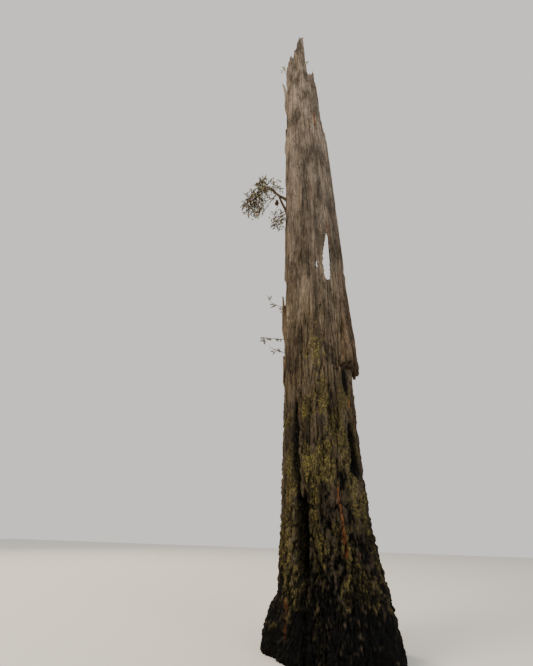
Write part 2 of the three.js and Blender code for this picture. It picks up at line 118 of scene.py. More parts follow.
# How near a place is to the cracks between blocks of charred wood, from 0 to 1 in the crack.
def blockCracks(angle, z, around, rise, seed):
    tall = int(noiseHeight / rise) + 4
    random = np.random.default_rng(seed)
    acrossShift, upShift = random.uniform(0.1, 0.9, (2, tall, around))
    u, v = angle / 360 * around, z / rise + 2
    column, row = np.floor(u).astype(int), np.floor(v).astype(int)
    nearest = np.full(np.shape(u), 9.0)
    second = nearest.copy()
    for right in (-1, 0, 1):
        for up in (-1, 0, 1):
            place = ((row + up) % tall, (column + right) % around)
            away = np.hypot(column + right + acrossShift[place] - u, row + up + upShift[place] - v)
            second = np.minimum(second, np.maximum(nearest, away))
            nearest = np.minimum(nearest, away)
    return 1 - smooth(second - nearest, 0.04, 0.3)


def meshFrom(name, points, faces):
    mesh = bpy.data.meshes.new(name)
    mesh.from_pydata(np.asarray(points).reshape(-1, 3), [], faces)
    mesh.update()
    return mesh


def addObject(name, data):
    made = bpy.data.objects.new(name, data)
    bpy.context.scene.collection.objects.link(made)
    return made


# A material, its tree and its shader, with values on the shader's own sockets
def newMaterial(name, values):
    material = bpy.data.materials.new(name)
    material.use_nodes = True
    shader = material.node_tree.nodes["Principled BSDF"]
    for socket, value in values.items():
        shader.inputs[socket].default_value = value
    return material, material.node_tree, shader


# A piece is called as the solid that it shows, but in one word.
def pieceName(node):
    return node.title().replace("_", "")


def addPiece(name, mesh, material, slotName, *nodes):
    piece = addObject(name, mesh)
    mesh.materials.clear()
    mesh.materials.append(material)
    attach(piece, "root")
    if nodes:
        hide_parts(*nodes)
    return piece


def setAttribute(mesh, name, values):
    attribute = mesh.attributes.new(name, "FLOAT", "POINT")
    everywhere = np.broadcast_to(values, len(mesh.vertices))
    attribute.data.foreach_set("value", np.ascontiguousarray(everywhere, "f"))


def vertexPlaces(mesh):
    places = np.empty(len(mesh.vertices) * 3, "f")
    mesh.vertices.foreach_get("co", places)
    return places.reshape(-1, 3).astype(float)


# The plain mesh that an object's modifiers give. The object itself is deleted.
def finishedMesh(name, shaped):
    graph = bpy.context.evaluated_depsgraph_get()
    mesh = bpy.data.meshes.new_from_object(shaped.evaluated_get(graph))
    mesh.name = name
    spare = shaped.data
    bpy.data.objects.remove(shaped)
    bpy.data.meshes.remove(spare)
    return mesh


# Camera, light and floor

view = {
    "place": (-0.2, -10.8, 2.52),
    "tilt": 28.63,  # degrees above level
    "left": 7.677,  # degrees from +Y towards -X
    "roll": 1.718,
    "lens": 19.19,  # millimetres, for the 36 mm long side of the picture
}


def placeCamera():
    tilt, left, roll = [math.radians(view[name]) for name in ("tilt", "left", "roll")]
    ahead = Vector((-math.sin(left) * math.cos(tilt), math.cos(left) * math.cos(tilt), math.sin(tilt)))
    level = Vector((math.cos(left), math.sin(left), 0))
    above = level.cross(ahead)
    right = level * math.cos(roll) + above * math.sin(roll)
    up = above * math.cos(roll) - level * math.sin(roll)
    camera = addObject("camera", bpy.data.cameras.new("camera"))
    camera.data.lens = view["lens"]
    camera.data.sensor_width = 36
    camera.data.clip_end = 300
    turned = Matrix((right, up, -ahead)).transposed().to_4x4()
    camera.matrix_world = Matrix.Translation(view["place"]) @ turned
    bpy.context.scene.camera = camera


studio = {
    "floor": 90,  # across
    "floorTone": "#d9d6cf",
    "skyTone": "#f3f1ec",
    "sky": 0.95,
    # name, place, where it points, size, power and colour of each soft light
    "lamps": [
        ("key", (-26, -22, 30), (0, 0, 12), 16, 12000, "#fff1de"),
        ("fill", (24, -26, 12), (0, 0, 9), 20, 5400, "#eef3fb"),
        ("rim", (-24, 22, 26), (0, 0, 15), 14, 9000, "#ffe6c4"),
    ],
}


def placeStudio():
    half = studio["floor"] / 2
    corners = [(-half, -half, 0), (half, -half, 0), (half, half, 0), (-half, half, 0)]
    floor = addObject("floor", meshFrom("floor", corners, [(0, 1, 2, 3)]))
    paint = {"Base Color": srgb(studio["floorTone"]), "Roughness": 0.9}
    floor.data.materials.append(newMaterial("matt floor paint", paint)[0])
    world = bpy.data.worlds.new("soft sky")
    world.use_nodes = True
    sky = world.node_tree.nodes["Background"]
    sky.inputs["Color"].default_value = srgb(studio["skyTone"])
    sky.inputs["Strength"].default_value = studio["sky"]
    bpy.context.scene.world = world
    for name, place, target, size, power, tone in studio["lamps"]:
        lamp = bpy.data.lights.new(name, "AREA")
        lamp.size = size
        lamp.energy = power
        lamp.color = srgb(tone)[:3]
        light = addObject(name, lamp)
        light.location = place
        light.rotation_euler = (Vector(target) - Vector(place)).to_track_quat("-Z", "Y").to_euler()


placeCamera()
placeStudio()
print("camera, floor and lights placed")


# The trunk's form, as in the solids' source

stem = {
    "halfWidth": 1.110,  # at the ground, but without the flare
    "topHalfWidth": 0.758,  # at the top height
    "topHeight": 25.3,
    "depthShare": 0.96,  # from front to back, beside the width
    "offset": 0.05,  # x of the axis at the ground, and how far it leans by the top
    "lean": -0.22,
    "flare": 0.25,  # how much wider the foot is, and how far up that reaches
    "flareHeight": 2.2,
    # angle, reach, height, width in degrees and power of each root buttress
    "buttresses": [
        (184, 0.300, 1.08, 24, 3.0),
        (234, 0.190, 1.50, 17, 1.6),
        (288, 0.250, 1.70, 22, 1.6),
        (338, 0.420, 2.70, 22, 1.5),
        (28, 0.300, 1.90, 22, 1.6),
        (80, 0.260, 1.50, 20, 1.6),
        (132, 0.330, 2.10, 24, 1.5),
    ],
    # angle, width in degrees, lowest and highest point, depth, and how charred it is
    "scars": [
        (238, 12, 1.5, 3.9, 0.50, 1.0),  # the fire scar
        (226, 11, 3.3, 6.0, 0.13, 1.0),  # the charred channel above it
        (241, 8, -0.9, 1.9, 0.13, 0.8),  # the crease below it
        (319, 10, 3.7, 5.2, 0.23, 1.0),  # the burnt pocket on the right
        (316, 10, 5.8, 7.0, 0.10, 0.9),  # where the slab has torn away
        (352, 34, 4.3, 7.7, 0.062, 0.0),  # the face that it left bare
        (55, 14, 0.6, 4.2, 0.16, 0.8),  # a crease at the back
        (112, 9, 3.0, 8.2, 0.11, 0.7),  # and another one, higher up
    ],
    # cells round the trunk, height of a cell, seed, depth and depth at the foot of each lost layer of bark
    "layers": [(14, 2.7, 7, 0.034, 0.034), (26, 3.6, 12, 0.030, 0.012)],
    "layerEdge": 0.14,
    "barkLost": (6.5, 12.5),  # the furrows fade into long shallow grooves between these heights
    "broadWaves": (0.020, 7, 4.1),  # depth, how many round the trunk, how slowly they sway upwards
    "slightWaves": (0.013, 13, 3.3),
    "rim": [  # angle and height of the broken edge
        (0, 23.5), (14, 22.4), (21, 19.0), (26, 14.2), (31, 11.1), (45, 10.5), (56, 10.4),
        (68, 10.8), (78, 11.5), (86, 13.4), (92, 17.2), (102, 19.6), (118, 20.5), (132, 22.6),
        (150, 23.7), (168, 25.1), (180, 26.1), (200, 26.2), (213, 25.8), (220, 25.95), (226, 26.45),
        (233, 26.0), (240, 26.05), (246, 26.65), (252, 26.6), (264, 27.25), (270, 27.65),
        (276, 27.93), (282, 28.03), (290, 28.05), (294, 25.3), (300, 23.95), (306, 24.07),
        (318, 24.25), (330, 24.45), (336, 24.5), (342, 24.0), (360, 23.5),
    ],
    "rimSteps": 60,  # splinters round the rim, higher and lower in turn
    "splinterHeight": 0.14,
    "rimBevel": 0.145,  # how much lower the rim is at its inner edge
    "evenRowsFrom": 8.6,  # rows of points above this follow the rim
    "hollowFloor": 9.3,
    "dishDepth": 0.16,  # the hollow's floor is a shallow dish
    "dishShare": 0.45,  # of the trunk's half width
    "wall": 0.29,
    "wallSwing": 0.12,  # thinner on the right and thicker on the left by this much
    "thinning": 0.38,  # share of the wall that is lost towards the top
}


def axisAt(z):
    return stem["offset"] + stem["lean"] * np.minimum(1, z / stem["topHeight"]) ** 3


# Depth of each scar at a place, and how charred the scar is
def scarDepths(angle, z):
    for middle, width, low, high, depth, charred in stem["scars"]:
        across = turn(middle, angle) / width
        up = np.clip((z - low) / (high - low), 0, 1)
        slope = np.clip((1 - across) / 0.35, 0, 1) * smooth(across, -1, 0.5)
        yield depth * slope * np.sin(math.pi * up) ** 0.6 * (np.abs(across) < 1), charred


# How much bark is lost at a place, in soft-edged layers
def layersAt(angle, z):
    lost = smooth(z, *stem["barkLost"])
    bared = 0
    for around, rise, seed, depth, footDepth in stem["layers"]:
        gone = 1 - smooth(grain(angle, z, around, rise, seed), -stem["layerEdge"], stem["layerEdge"])
        bared = bared + mix(footDepth, depth, lost) * gone
    return bared


# The plain form: distance from the axis to the trunk's side
def radiusAt(angle, z):
    rise = np.minimum(1, z / stem["topHeight"]) ** 2
    flare = stem["flare"] * np.exp(-z / stem["flareHeight"])
    radius = mix(stem["halfWidth"], stem["topHalfWidth"], rise) + flare
    for middle, reach, height, width, power in stem["buttresses"]:
        across = np.exp(-((turn(middle, angle) / width) ** 2))
        radius = radius + reach * np.clip(1 - (z / height) ** power, 0, 1) * across
    a = np.radians(angle)
    (broad, few, sway), (slight, many, climb) = stem["broadWaves"], stem["slightWaves"]
    radius = radius + broad * np.sin(few * a + 0.8 * np.sin(z / sway))
    radius = radius + slight * np.sin(many * a + 2 + z / climb)
    return radius - layersAt(angle, z) - sum(depth for depth, charred in scarDepths(angle, z))


def sidePoint(angle, z, radius):
    a = np.radians(angle)
    return np.stack([axisAt(z) + radius * np.cos(a), radius * np.sin(a) * stem["depthShare"], z + 0 * a], -1)


# The angle and the distance from the axis of points in space.
def aroundAxis(places):
    right, back = places[:, 0] - axisAt(places[:, 2]), places[:, 1] / stem["depthShare"]
    return np.degrees(np.arctan2(back, right)) % 360, np.hypot(right, back)


def wallAt(angle, z):
    thin = 1 - stem["thinning"] * smooth(z, stem["hollowFloor"], stem["topHeight"])
    return (stem["wall"] - stem["wallSwing"] * np.cos(np.radians(angle))) * thin


# Relief of the bark: braided furrows, ribs and fibres, torn layers, lumps low down, and blocks of char.

bark = {
    # degrees that furrows and fibres sway, cells round the trunk, height of a cell, seed
    "sway": [(2.4, 11, 1.5, 1), (0.8, 38, 0.45, 2)],
    # count round the trunk, lengths at the foot, above it and where the bark is lost, and seed
    "furrows": (34, (0.75, 1.7, 3.4), 3),
    "ribs": (98, (0.22, 0.7, 1.7), 4),
    "fibres": (250, (0.13, 0.34, 0.8), 5),
    "furrowDepth": 0.055,
    "furrowWidth": (0.20, 0.12),  # below and where the bark is lost, in steps of its noise
    "ribDepth": 0.019,
    "fibreDepth": 0.006,
    "lumpDepth": 0.030,
    "lumps": [(84, 0.10, 6, 1.0), (150, 0.055, 8, 0.6), (40, 0.24, 10, 0.5)],  # cells, height, seed, share
    "lumpsEnd": (4.0, 8.0),
    "shortUpTo": (2.5, 6.0),  # the broken, short pieces of bark end between these heights
    "tornRagged": (0.10, 0.10),  # how far fibres and ribs fray the edges of the lost layers
    "tornEdge": (-0.03, 0.06),
    "burntDepth": 0.012,
    "charCrackDepth": 0.026,
    "charBlocks": (92, 0.11, 9),  # cells round the trunk, height of a block, seed
    "skin": 0.018,  # how far unburnt bark lies outside the plain form
    "proud": 0.045,  # how far a rib may stand out of the plain form
}

# Patches of colour: angle, height, half width in degrees, half height, strength.
patches = {
    "moss": [
        (275, 4.36, 10, 0.38, 1.0),
        (251, 3.85, 6, 0.50, 1.0),
        (246, 5.35, 5, 0.32, 0.9),
        (279, 4.95, 4, 0.14, 0.8),
        (275, 5.62, 8, 0.38, 0.9),
        (268, 7.20, 16, 0.80, 0.5),
        (256, 3.20, 7, 0.65, 1.0),
        (217, 2.60, 8, 1.30, 1.0),
        (312, 3.35, 6, 0.90, 1.0),
        (60, 3.20, 14, 1.60, 0.8),
        (150, 3.60, 16, 1.80, 0.8),
        (205, 1.50, 8, 1.10, 0.6),
        (262, 1.90, 9, 0.60, 0.6),
    ],
    "orange": [
        (288.0, 3.25, 1.2, 0.22, 1.0),
        (289.8, 2.93, 1.3, 0.26, 1.0),
        (291.0, 2.60, 1.8, 0.28, 1.0),
        (291.6, 2.32, 2.9, 0.22, 1.0),
        (292.0, 2.05, 2.6, 0.16, 1.0),
        (301.0, 2.10, 2.0, 0.20, 0.4),
        (308.0, 2.05, 2.0, 0.30, 0.5),
        (221.0, 0.95, 4.0, 0.22, 0.7),
        (224.5, 0.60, 5.0, 0.30, 0.7),
        (319.0, 5.65, 2.5, 0.35, 0.7),
        (332.0, 4.25, 2.0, 0.40, 0.7),
        (337.0, 5.10, 2.5, 0.60, 0.6),
        (306.0, 6.95, 2.0, 0.60, 0.6),
        (301.5, 19.6, 2.6, 0.95, 0.8),
        (196.0, 7.30, 2.5, 0.30, 0.8),
        (98.0, 2.60, 2.0, 0.70, 0.8),
        (20.0, 4.60, 2.2, 0.90, 0.7),
    ],
    "char": [
        (300, 1.30, 16, 0.70, 0.9),
        (262, 0.90, 18, 0.60, 0.8),
        (318, 6.35, 8, 0.35, 1.0),
        (233, 3.95, 7, 0.55, 1.0),
        (272, 3.35, 8, 0.30, 0.7),
        (296, 3.75, 9, 0.40, 0.8),
        (303, 2.85, 7, 0.75, 0.8),
        (276, 2.65, 11, 0.70, 0.55),
        (302, 2.15, 6, 0.40, 1.0),
        (313, 2.05, 8, 0.40, 0.8),
    ],
    "dry": [
        (217, 2.40, 12, 0.90, 0.7),
    ],
    # dark patches: stained wood low down, and higher up painted shade
    "stainAndShade": [
        (278, 2.60, 12, 0.75, 1.0),
        (255, 5.40, 6, 0.45, 0.8),
        (290, 5.25, 8, 0.55, 0.8),
        (241, 7.80, 8, 0.50, 0.6),
        (216, 3.95, 8, 0.75, 1.0),
        (290, 2.95, 7, 0.90, 0.9),
        (287, 2.15, 9, 0.40, 0.8),
        (318, 2.55, 9, 0.70, 1.0),
        (312, 4.20, 6, 0.60, 0.7),
        (290, 7.20, 9, 0.40, 0.6),
        (283, 12.4, 8, 1.60, 0.55),
        (297, 10.6, 9, 1.30, 0.50),
        (262, 15.2, 13, 1.90, 0.40),
        (290, 15.6, 10, 1.60, 0.45),
        (240, 11.6, 10, 1.80, 0.35),
        (290, 8.0, 8, 1.00, 0.35),
        (100, 13.0, 12, 2.20, 0.5),
        (40, 9.0, 12, 1.60, 0.4),
        (150, 8.5, 12, 1.80, 0.4),
    ],
}


def patchMask(name, angle, z):
    mask = 0 * z
    for middle, height, wide, tall, strength in patches[name]:
        away = (turn(middle, angle) / wide) ** 2 + ((z - height) / tall) ** 2
        mask = np.maximum(mask, strength * np.exp(-away))
    return mask


# Ragged bark that still covers the top right of the fire scar. Angles are in degrees.
overhang = {
    "left": 229,
    "middle": 241,
    "halfWidth": 12,
    "edge": 3.80,  # height of its lower edge on the left
    "slantFrom": 232,
    "slant": 0.055,  # how much lower that edge is for each degree further right
    "ragged": 0.30,
}


# The share of the scar that it covers at a place
def hangingBark(angle, z):
    fallen = overhang["slant"] * np.clip(turn(overhang["slantFrom"], angle), 0, 20)
    slant = overhang["edge"] - fallen + overhang["ragged"] * grain(angle, z, 70, 0.7, 45)
    within = np.abs(turn(overhang["middle"], angle)) < overhang["halfWidth"]
    return smooth(z - slant, -0.04, 0.08) * smooth(turn(overhang["left"], angle), 0, 4) * within


# Where each colour sets in on the wood. A pair of limits is where it begins and where it is full.
wash = {
    "scarSoot": (0.015, 0.075),  # depth of a scar that soot lies in
    "patchSoot": (0.3, 0.8),
    "footSootAndShade": 1.75,  # the foot is black up to about this height: soot, with painted shade
    "sootSpots": (0.24, 0.62),
    "sootSpotsEnd": (5.5, 9.5),  # heights
    "sootThins": (8.5, 11),  # to half, between these heights
    "mossEnds": (5.5, 8.5),
    "mossBegins": (1.3, 1.1),  # thinner under the first, over a height of the second
    "mossThins": (3.4, 4.4),
    "mossPatch": (0.2, 0.7),
    "dampAndShadeFoot": (4.8, 2.8),  # dampness and painted shade under the first height, full lower down by the second
    "darkSpotsEnd": (4.4, 6.8),
    "darkSpots": 0.6,
    # how dark the stained patches and the patches of painted shade get
    "stainAndShadeStrength": 0.62,
    # share, then the heights between which it comes and goes, of the even darkening on two stretches; on the
    # upper one it is painted shade
    "darkStretches": [(0.32, 8, 12, 16.5, 19), (0.54, 3.4, 4.4, 5.4, 7.8)],
    "freshPatch": (0.35, 0.6),
    "freshStreaks": (0.66, 0.85),
    "freshStreakShare": 0.35,
    "weathered": (6.0, 17.0),  # greyer between these heights
}


def charMask(angle, z):
    ragged = 0.9 * grain(angle, z, 30, 0.5, 41) + 0.5 * grain(angle, z, 90, 0.16, 42)
    fine = grain(angle, z, 64, 0.22, 46) + 0.7 * grain(angle, z, 140, 0.09, 47)
    bare = 1 - hangingBark(angle, z)
    scars = sum(charred * smooth(depth * bare, *wash["scarSoot"]) for depth, charred in scarDepths(angle, z))
    blotches = smooth(patchMask("char", angle, z) + 0.4 * ragged + 0.4 * fine, *wash["patchSoot"])
    foot = smooth(0.6 * (wash["footSootAndShade"] - z) + 1.1 * fine + 0.4, 0.05, 0.75)
    spots = smooth(0.8 * grain(angle, z, 22, 0.6, 43) + 0.5 * fine, *wash["sootSpots"])
    spots = 0.75 * spots * (1 - smooth(z, *wash["sootSpotsEnd"]))
    thickest = np.maximum(np.maximum(scars, blotches), np.maximum(foot, spots))
    return np.clip(thickest, 0, 1) * (1 - 0.5 * smooth(z, *wash["sootThins"]))


def mossMask(angle, z):
    fine = 0.35 * grain(angle, z, 58, 0.22, 51) + 0.2 * grain(angle, z, 130, 0.10, 52)
    dry = smooth(wash["mossBegins"][0] - z, 0, wash["mossBegins"][1])
    wide = grain(angle, z, 15, 0.9, 53) - smooth(z, *wash["mossEnds"]) - 0.7 * dry
    scattered = smooth(wide + fine, -0.15, 0.35) * (0.8 - 0.2 * smooth(z, *wash["mossThins"]))
    return np.clip(scattered + smooth(patchMask("moss", angle, z) + fine, *wash["mossPatch"]), 0, 1)


# Dark wood, from dampness and from painted shade: at the foot, in blotches above it, in long stained patches
# further up, which higher on the trunk are painted shade, and evenly on two stretches, the upper one painted
# shade.
def dampAndShadeMask(angle, z):
    ragged = 0.6 * grain(angle, z, 30, 0.5, 95) + 0.4 * grain(angle, z, 90, 0.35, 96)
    top, soaked = wash["dampAndShadeFoot"]
    foot = smooth(top - z + 0.9 * grain(angle, z, 13, 0.8, 93), 0, soaked) * (1 - patchMask("dry", angle, z))
    blotches = smooth(grain(angle, z, 20, 0.8, 94) + 0.5 * ragged, -0.05, 0.5)
    blotches = wash["darkSpots"] * blotches * (1 - smooth(z, *wash["darkSpotsEnd"]))
    stainsAndShade = wash["stainAndShadeStrength"] * smooth(patchMask("stainAndShade", angle, z) + 0.25 * ragged, 0.05, 0.6)
    even = sum(share * smooth(z, a, b) * (1 - smooth(z, c, d)) for share, a, b, c, d in wash["darkStretches"])
    return np.clip(1 - (1 - foot) * (1 - blotches) * (1 - stainsAndShade) * (1 - even), 0, 1)


# Orange-brown wood that broke open lately: in patches and in a few thin streaks.
def orangeMask(angle, z):
    fine = 0.5 * grain(angle, z, 150, 0.5, 61) + 0.3 * grain(angle, z, 300, 0.2, 62)
    streaks = smooth(grain(angle, z, 52, 2.2, 63) + 0.25 * fine, *wash["freshStreaks"])
    streaks = wash["freshStreakShare"] * streaks * smooth(z, 1, 2)
    return np.clip(smooth(patchMask("orange", angle, z) + 0.5 * fine, *wash["freshPatch"]) + streaks, 0, 1)


# Furrows and fibres don't run straight: they sway a few degrees on their way up.
def wander(angle, z):
    line = angle
    for degrees, around, rise, seed in bark["sway"]:
        line = line + degrees * grain(angle, z, around, rise, seed)
    return line


# How far the surface lies outside the plain form. The lost layers get sharp, frayed edges here.
def barkRelief(angle, z, char):
    line = wander(angle, z)
    lost = smooth(z, *stem["barkLost"])
    short = 1 - smooth(z, *bark["shortUpTo"])

    # short and broken at the foot, longer above it, and longest where the bark is lost
    def lengthwise(around, lengths, seed):
        low, middle, high = [grain(line, z, around, rise, seed + 10 * i) for i, rise in enumerate(lengths)]
        return mix(mix(middle, low, short), high, lost)
    fibre, rib, valley = [lengthwise(*bark[name]) for name in ("fibres", "ribs", "furrows")]
    furrow = np.clip(1 - np.abs(valley) / mix(*bark["furrowWidth"], lost), 0, 1) ** 1.2
    groove = np.clip(1 - np.abs(rib) / 0.3, 0, 1) ** 1.4
    relief = -bark["furrowDepth"] * furrow * (1 - 0.5 * lost) - bark["ribDepth"] * groove * (1 - 0.35 * lost)
    relief = relief + bark["fibreDepth"] * fibre + layersAt(angle, z)
    frayed = bark["tornRagged"][0] * fibre + bark["tornRagged"][1] * rib
    for around, rise, seed, depth, footDepth in stem["layers"]:
        gone = 1 - smooth(grain(line, z, around, rise, seed) + frayed, *bark["tornEdge"])
        relief = relief - mix(footDepth, depth, lost) * gone
    lumps = sum(share * grain(angle, z, around, rise, seed) for around, rise, seed, share in bark["lumps"])
    lumpy = 0.45 + 0.75 * smooth(grain(angle, z, 12, 0.9, 13), -0.4, 0.4)
    relief = relief + bark["lumpDepth"] * (lumps - 0.2) * lumpy * (1 - smooth(z, *bark["lumpsEnd"]))
    cracks = bark["charCrackDepth"] * blockCracks(line, z, *bark["charBlocks"])
    burnt = mix(0.5, 0.8, short) * relief - bark["burntDepth"] - cracks
    cover = 0.9 * next(scarDepths(angle, z))[0] * hangingBark(angle, z)
    whole = mix(relief + bark["skin"], burnt, char)
    return np.minimum(whole, bark["proud"] * smooth(z, 0.6, 1.6)) + cover


# The trunk's meshes

trunk = {
    "columns": 600,
    "lowRows": 260,
    "highRows": 270,
    "innerRows": 110,
    "topRows": 5,
    "ragged": 0.26,  # deepest notch between two fine splinters of the rim
    "raggedZone": 16,  # rows below the rim that follow the notches
    "sharpFrom": 62,  # degrees between two faces
    "furrowShadeDepth": 0.075,  # depth at which the painted shade in a furrow is as dark as it gets
}
hollow = {
    # depth of the rotten places in its side, cells round it, height of a cell, seed
    "rot": [(0.026, 40, 1.2, 71), (0.012, 120, 0.6, 72)],
    "crackDepth": 0.02,
    "crackWidth": 0.12,  # in steps of their noise
}
columnAngles = np.arange(trunk["columns"]) * 360 / trunk["columns"]


# The broken edge's height at each column, with the solids' splinters in it
def rimHeights():
    draw = numberStream(11)
    steps = stem["rimSteps"]
    jitter = [(-1 if i % 2 else 0.35) * draw(0.35, 1) * stem["splinterHeight"] for i in range(steps)]
    plain = np.interp(columnAngles, *np.transpose(stem["rim"]))
    return plain + np.interp(columnAngles, np.arange(steps + 1) * 360 / steps, jitter + jitter[:1])


# How far each fine splinter along a broken edge stays short of the edge's line.
def notchesAlong(count, seed, width, deepest):
    random = np.random.default_rng(seed)
    notches = np.zeros(count)
    place = 0
    while place < count:
        wide = int(random.integers(2, width))
        depth = deepest * random.random() ** 2.2
        lean = random.uniform(0.2, 1.0)
        for i in range(place, min(place + wide, count)):
            notches[i] = depth * (1 - lean * (i - place) / wide)
        place += wide
    return notches


def rimNotches(seed, width):
    return notchesAlong(trunk["columns"], seed, width, trunk["ragged"])


def outerRing(z):
    char = charMask(columnAngles, z)
    return sidePoint(columnAngles, z, radiusAt(columnAngles, z) + barkRelief(columnAngles, z, char))


# The hollow's side: rotten and uneven, with long cracks
def innerRing(z):
    rot = 0
    for depth, around, rise, seed in hollow["rot"]:
        rot = rot + depth * grain(columnAngles, z, around, rise, seed)
    noise = grain(wander(columnAngles, z), z, 24, 2.4, 73)
    crack = hollow["crackDepth"] * np.clip(1 - np.abs(noise) / hollow["crackWidth"], 0, 1)
    radius = radiusAt(columnAngles, z) - wallAt(columnAngles, z)
    return sidePoint(columnAngles, z, radius + rot + crack)


# Rings of points up the outside, over the broken edge, and down the hollow to its dished floor
def trunkRings():
    level = columnAngles * 0
    rim, notches = rimHeights(), rimNotches(81, 7)
    even, low, high, deep = stem["evenRowsFrom"], trunk["lowRows"], trunk["highRows"], trunk["innerRows"]
    outer = [outerRing(level + even * row / low) for row in range(low + 1)]
    for row in range(1, high + 1):
        sunk = notches * smooth(row, high - trunk["raggedZone"], high)
        outer.append(outerRing(mix(even, rim, row / high) - sunk))
    innerTop = rim - stem["rimBevel"] - 0.8 * rimNotches(82, 6)
    inner = [innerRing(mix(innerTop, stem["hollowFloor"], row / deep)) for row in range(deep + 1)]
    top = []
    for row in range(1, trunk["topRows"] + 1):
        share = row / (trunk["topRows"] + 1)
        spikes = 0.7 * rimNotches(82 + row, 5) * math.sin(math.pi * share)
        top.append(mix(outer[-1], inner[0], share) - np.stack([level, level, spikes], -1))
    dish = level + stem["hollowFloor"] - stem["dishDepth"]
    dishRing = sidePoint(columnAngles, dish, radiusAt(columnAngles, dish) * stem["dishShare"])
    return outer, top, inner + [dishRing]


# A surface through rings. Its ends are closed by fans, or as a plank's are, or it goes round to its first.
def loft(name, rings, ends="fan"):
    size, count = len(rings[0]), len(rings)
    middles = [[rings[0].mean(0)], [rings[-1].mean(0)]] if ends == "fan" else []
    points = np.concatenate([*rings, *middles])
    rows = np.arange(count if ends == "round" else count - 1)
    row, column = np.meshgrid(rows, np.arange(size), indexing="ij")
    a, b = row * size + column, row * size + (column + 1) % size
    c, d = (b + size) % (count * size), (a + size) % (count * size)
    faces = [np.stack(corners, -1).reshape(-1, 3) for corners in ((a, b, c), (a, c, d))]
    last = (count - 1) * size
    if ends == "fan":
        here, after = np.arange(size), (np.arange(size) + 1) % size
        faces.append(np.stack([here * 0 + count * size, after, here], -1))
        faces.append(np.stack([here * 0 + count * size + 1, last + here, last + after], -1))
    if ends == "plank":
        here = np.arange(size // 2 - 1)
        a, b, c, d = here, here + 1, size - 2 - here, size - 1 - here
        for corners in ((b, a, d), (b, d, c)):
            faces.append(np.stack(corners, -1))
        for corners in ((a, b, c), (a, c, d)):
            faces.append(np.stack(corners, -1) + last)
    return meshFrom(name, points, np.concatenate(faces))


# The places of the colours on the wood: how deep (for the painted shade in furrows), charred, mossy, orange
# and weathered each point is, and its dampness and painted shade.
def dress(mesh, furrow, inside=0.0):
    inside = np.broadcast_to(inside, len(mesh.vertices))
    places = vertexPlaces(mesh)
    z = places[:, 2]
    angle, _ = aroundAxis(places)
    shown = 1 - inside
    rot = 0.55 + 0.5 * grain(angle, z, 9, 2, 91)
    lost = smooth(z, *stem["barkLost"])
    # depth in a furrow, which the material turns into painted shade
    setAttribute(mesh, "furrow", np.clip(furrow, 0, 1) * shown * (1 - 0.5 * lost))
    setAttribute(mesh, "char", np.clip(charMask(angle, z) * shown + inside * rot, 0, 1))
    setAttribute(mesh, "moss", mossMask(angle, z) * shown)
    setAttribute(mesh, "orange", orangeMask(angle, z) * (1 - 0.6 * inside))
    weather = smooth(z, *wash["weathered"]) + 0.25 * grain(angle, z, 20, 2.2, 92)
    setAttribute(mesh, "weather", np.clip(weather, 0, 1) * (1 - 0.5 * inside))
    # dampness and painted shade, darker at the foot
    setAttribute(mesh, "dampAndShade", dampAndShadeMask(angle, z))
    mesh.shade_smooth()
    mesh.set_sharp_from_angle(angle=math.radians(trunk["sharpFrom"]))
    unroll(mesh, angle, z, inside)


# The strips of the map: where each begins and how tall it is, as shares of the map, and how it goes across
strips = {"outside": (0.31, 0.68), "inside": (0.01, 0.28), "margin": 0.001, "degrees": 362}


# A map that unrolls the trunk, its outside above its inside.
def unroll(mesh, angle, z, inside):
    corners, starts = np.empty(len(mesh.loops), int), np.empty(len(mesh.polygons), int)
    mesh.loops.foreach_get("vertex_index", corners)
    mesh.polygons.foreach_get("loop_start", starts)
    faceOf = np.searchsorted(starts, np.arange(len(corners)), side="right") - 1
    turned = angle[corners]
    highest = np.maximum.reduceat(turned, starts)[faceOf]
    turned = np.where(highest - turned > 180, turned + 360, turned)
    up = (z[corners] - z.min()) / (z.max() - z.min())
    outside = np.maximum.reduceat(inside[corners], starts)[faceOf] < 0.5
    u = strips["margin"] + turned / strips["degrees"]  # a little less than the whole width, for the margin
    v = np.where(outside, *[start + tall * up for start, tall in (strips["outside"], strips["inside"])])
    chart = mesh.uv_layers.new(name="OFBake")
    chart.data.foreach_set("uv", np.stack([u, v], -1).astype("f").ravel())


# Points deep in the wall, above the solid part of the trunk, are the hollow's.
def dressTrunk(mesh):
    places = vertexPlaces(mesh)
    z = places[:, 2]
    angle, radius = aroundAxis(places)
    depth = radiusAt(angle, z) - radius
    inside = smooth(depth / wallAt(angle, z), 0.35, 0.8) * (z > stem["evenRowsFrom"] + 0.3)
    # the depth below the plain form sets the painted shade in furrows
    dress(mesh, depth / trunk["furrowShadeDepth"], inside)


# The window and the small hole beside it, which let light through the front wall

window = {
    # x and z of the outlines, where they meet the trunk's face
    "outline": [
        (0.585, 12.16), (0.505, 11.69), (0.428, 11.31), (0.396, 10.99), (0.389, 10.51), (0.418, 10.065),
        (0.500, 9.93), (0.582, 9.90), (0.622, 9.965), (0.640, 10.50), (0.655, 11.20), (0.642, 11.90),
    ],
    "smallHole": [(0.118, 10.48), (0.19, 10.48), (0.20, 10.76), (0.135, 10.77)],
    "pieces": (84, 20),  # points round each of them
    "front": -1.5,  # y at which the cuts begin, where they end, and where the outlines hold
    "back": -0.25,
    "face": -0.93,
    "slope": 0.8,  # both cuts climb as they go in
    "steps": 14,
    "ragged": 0.022,
}


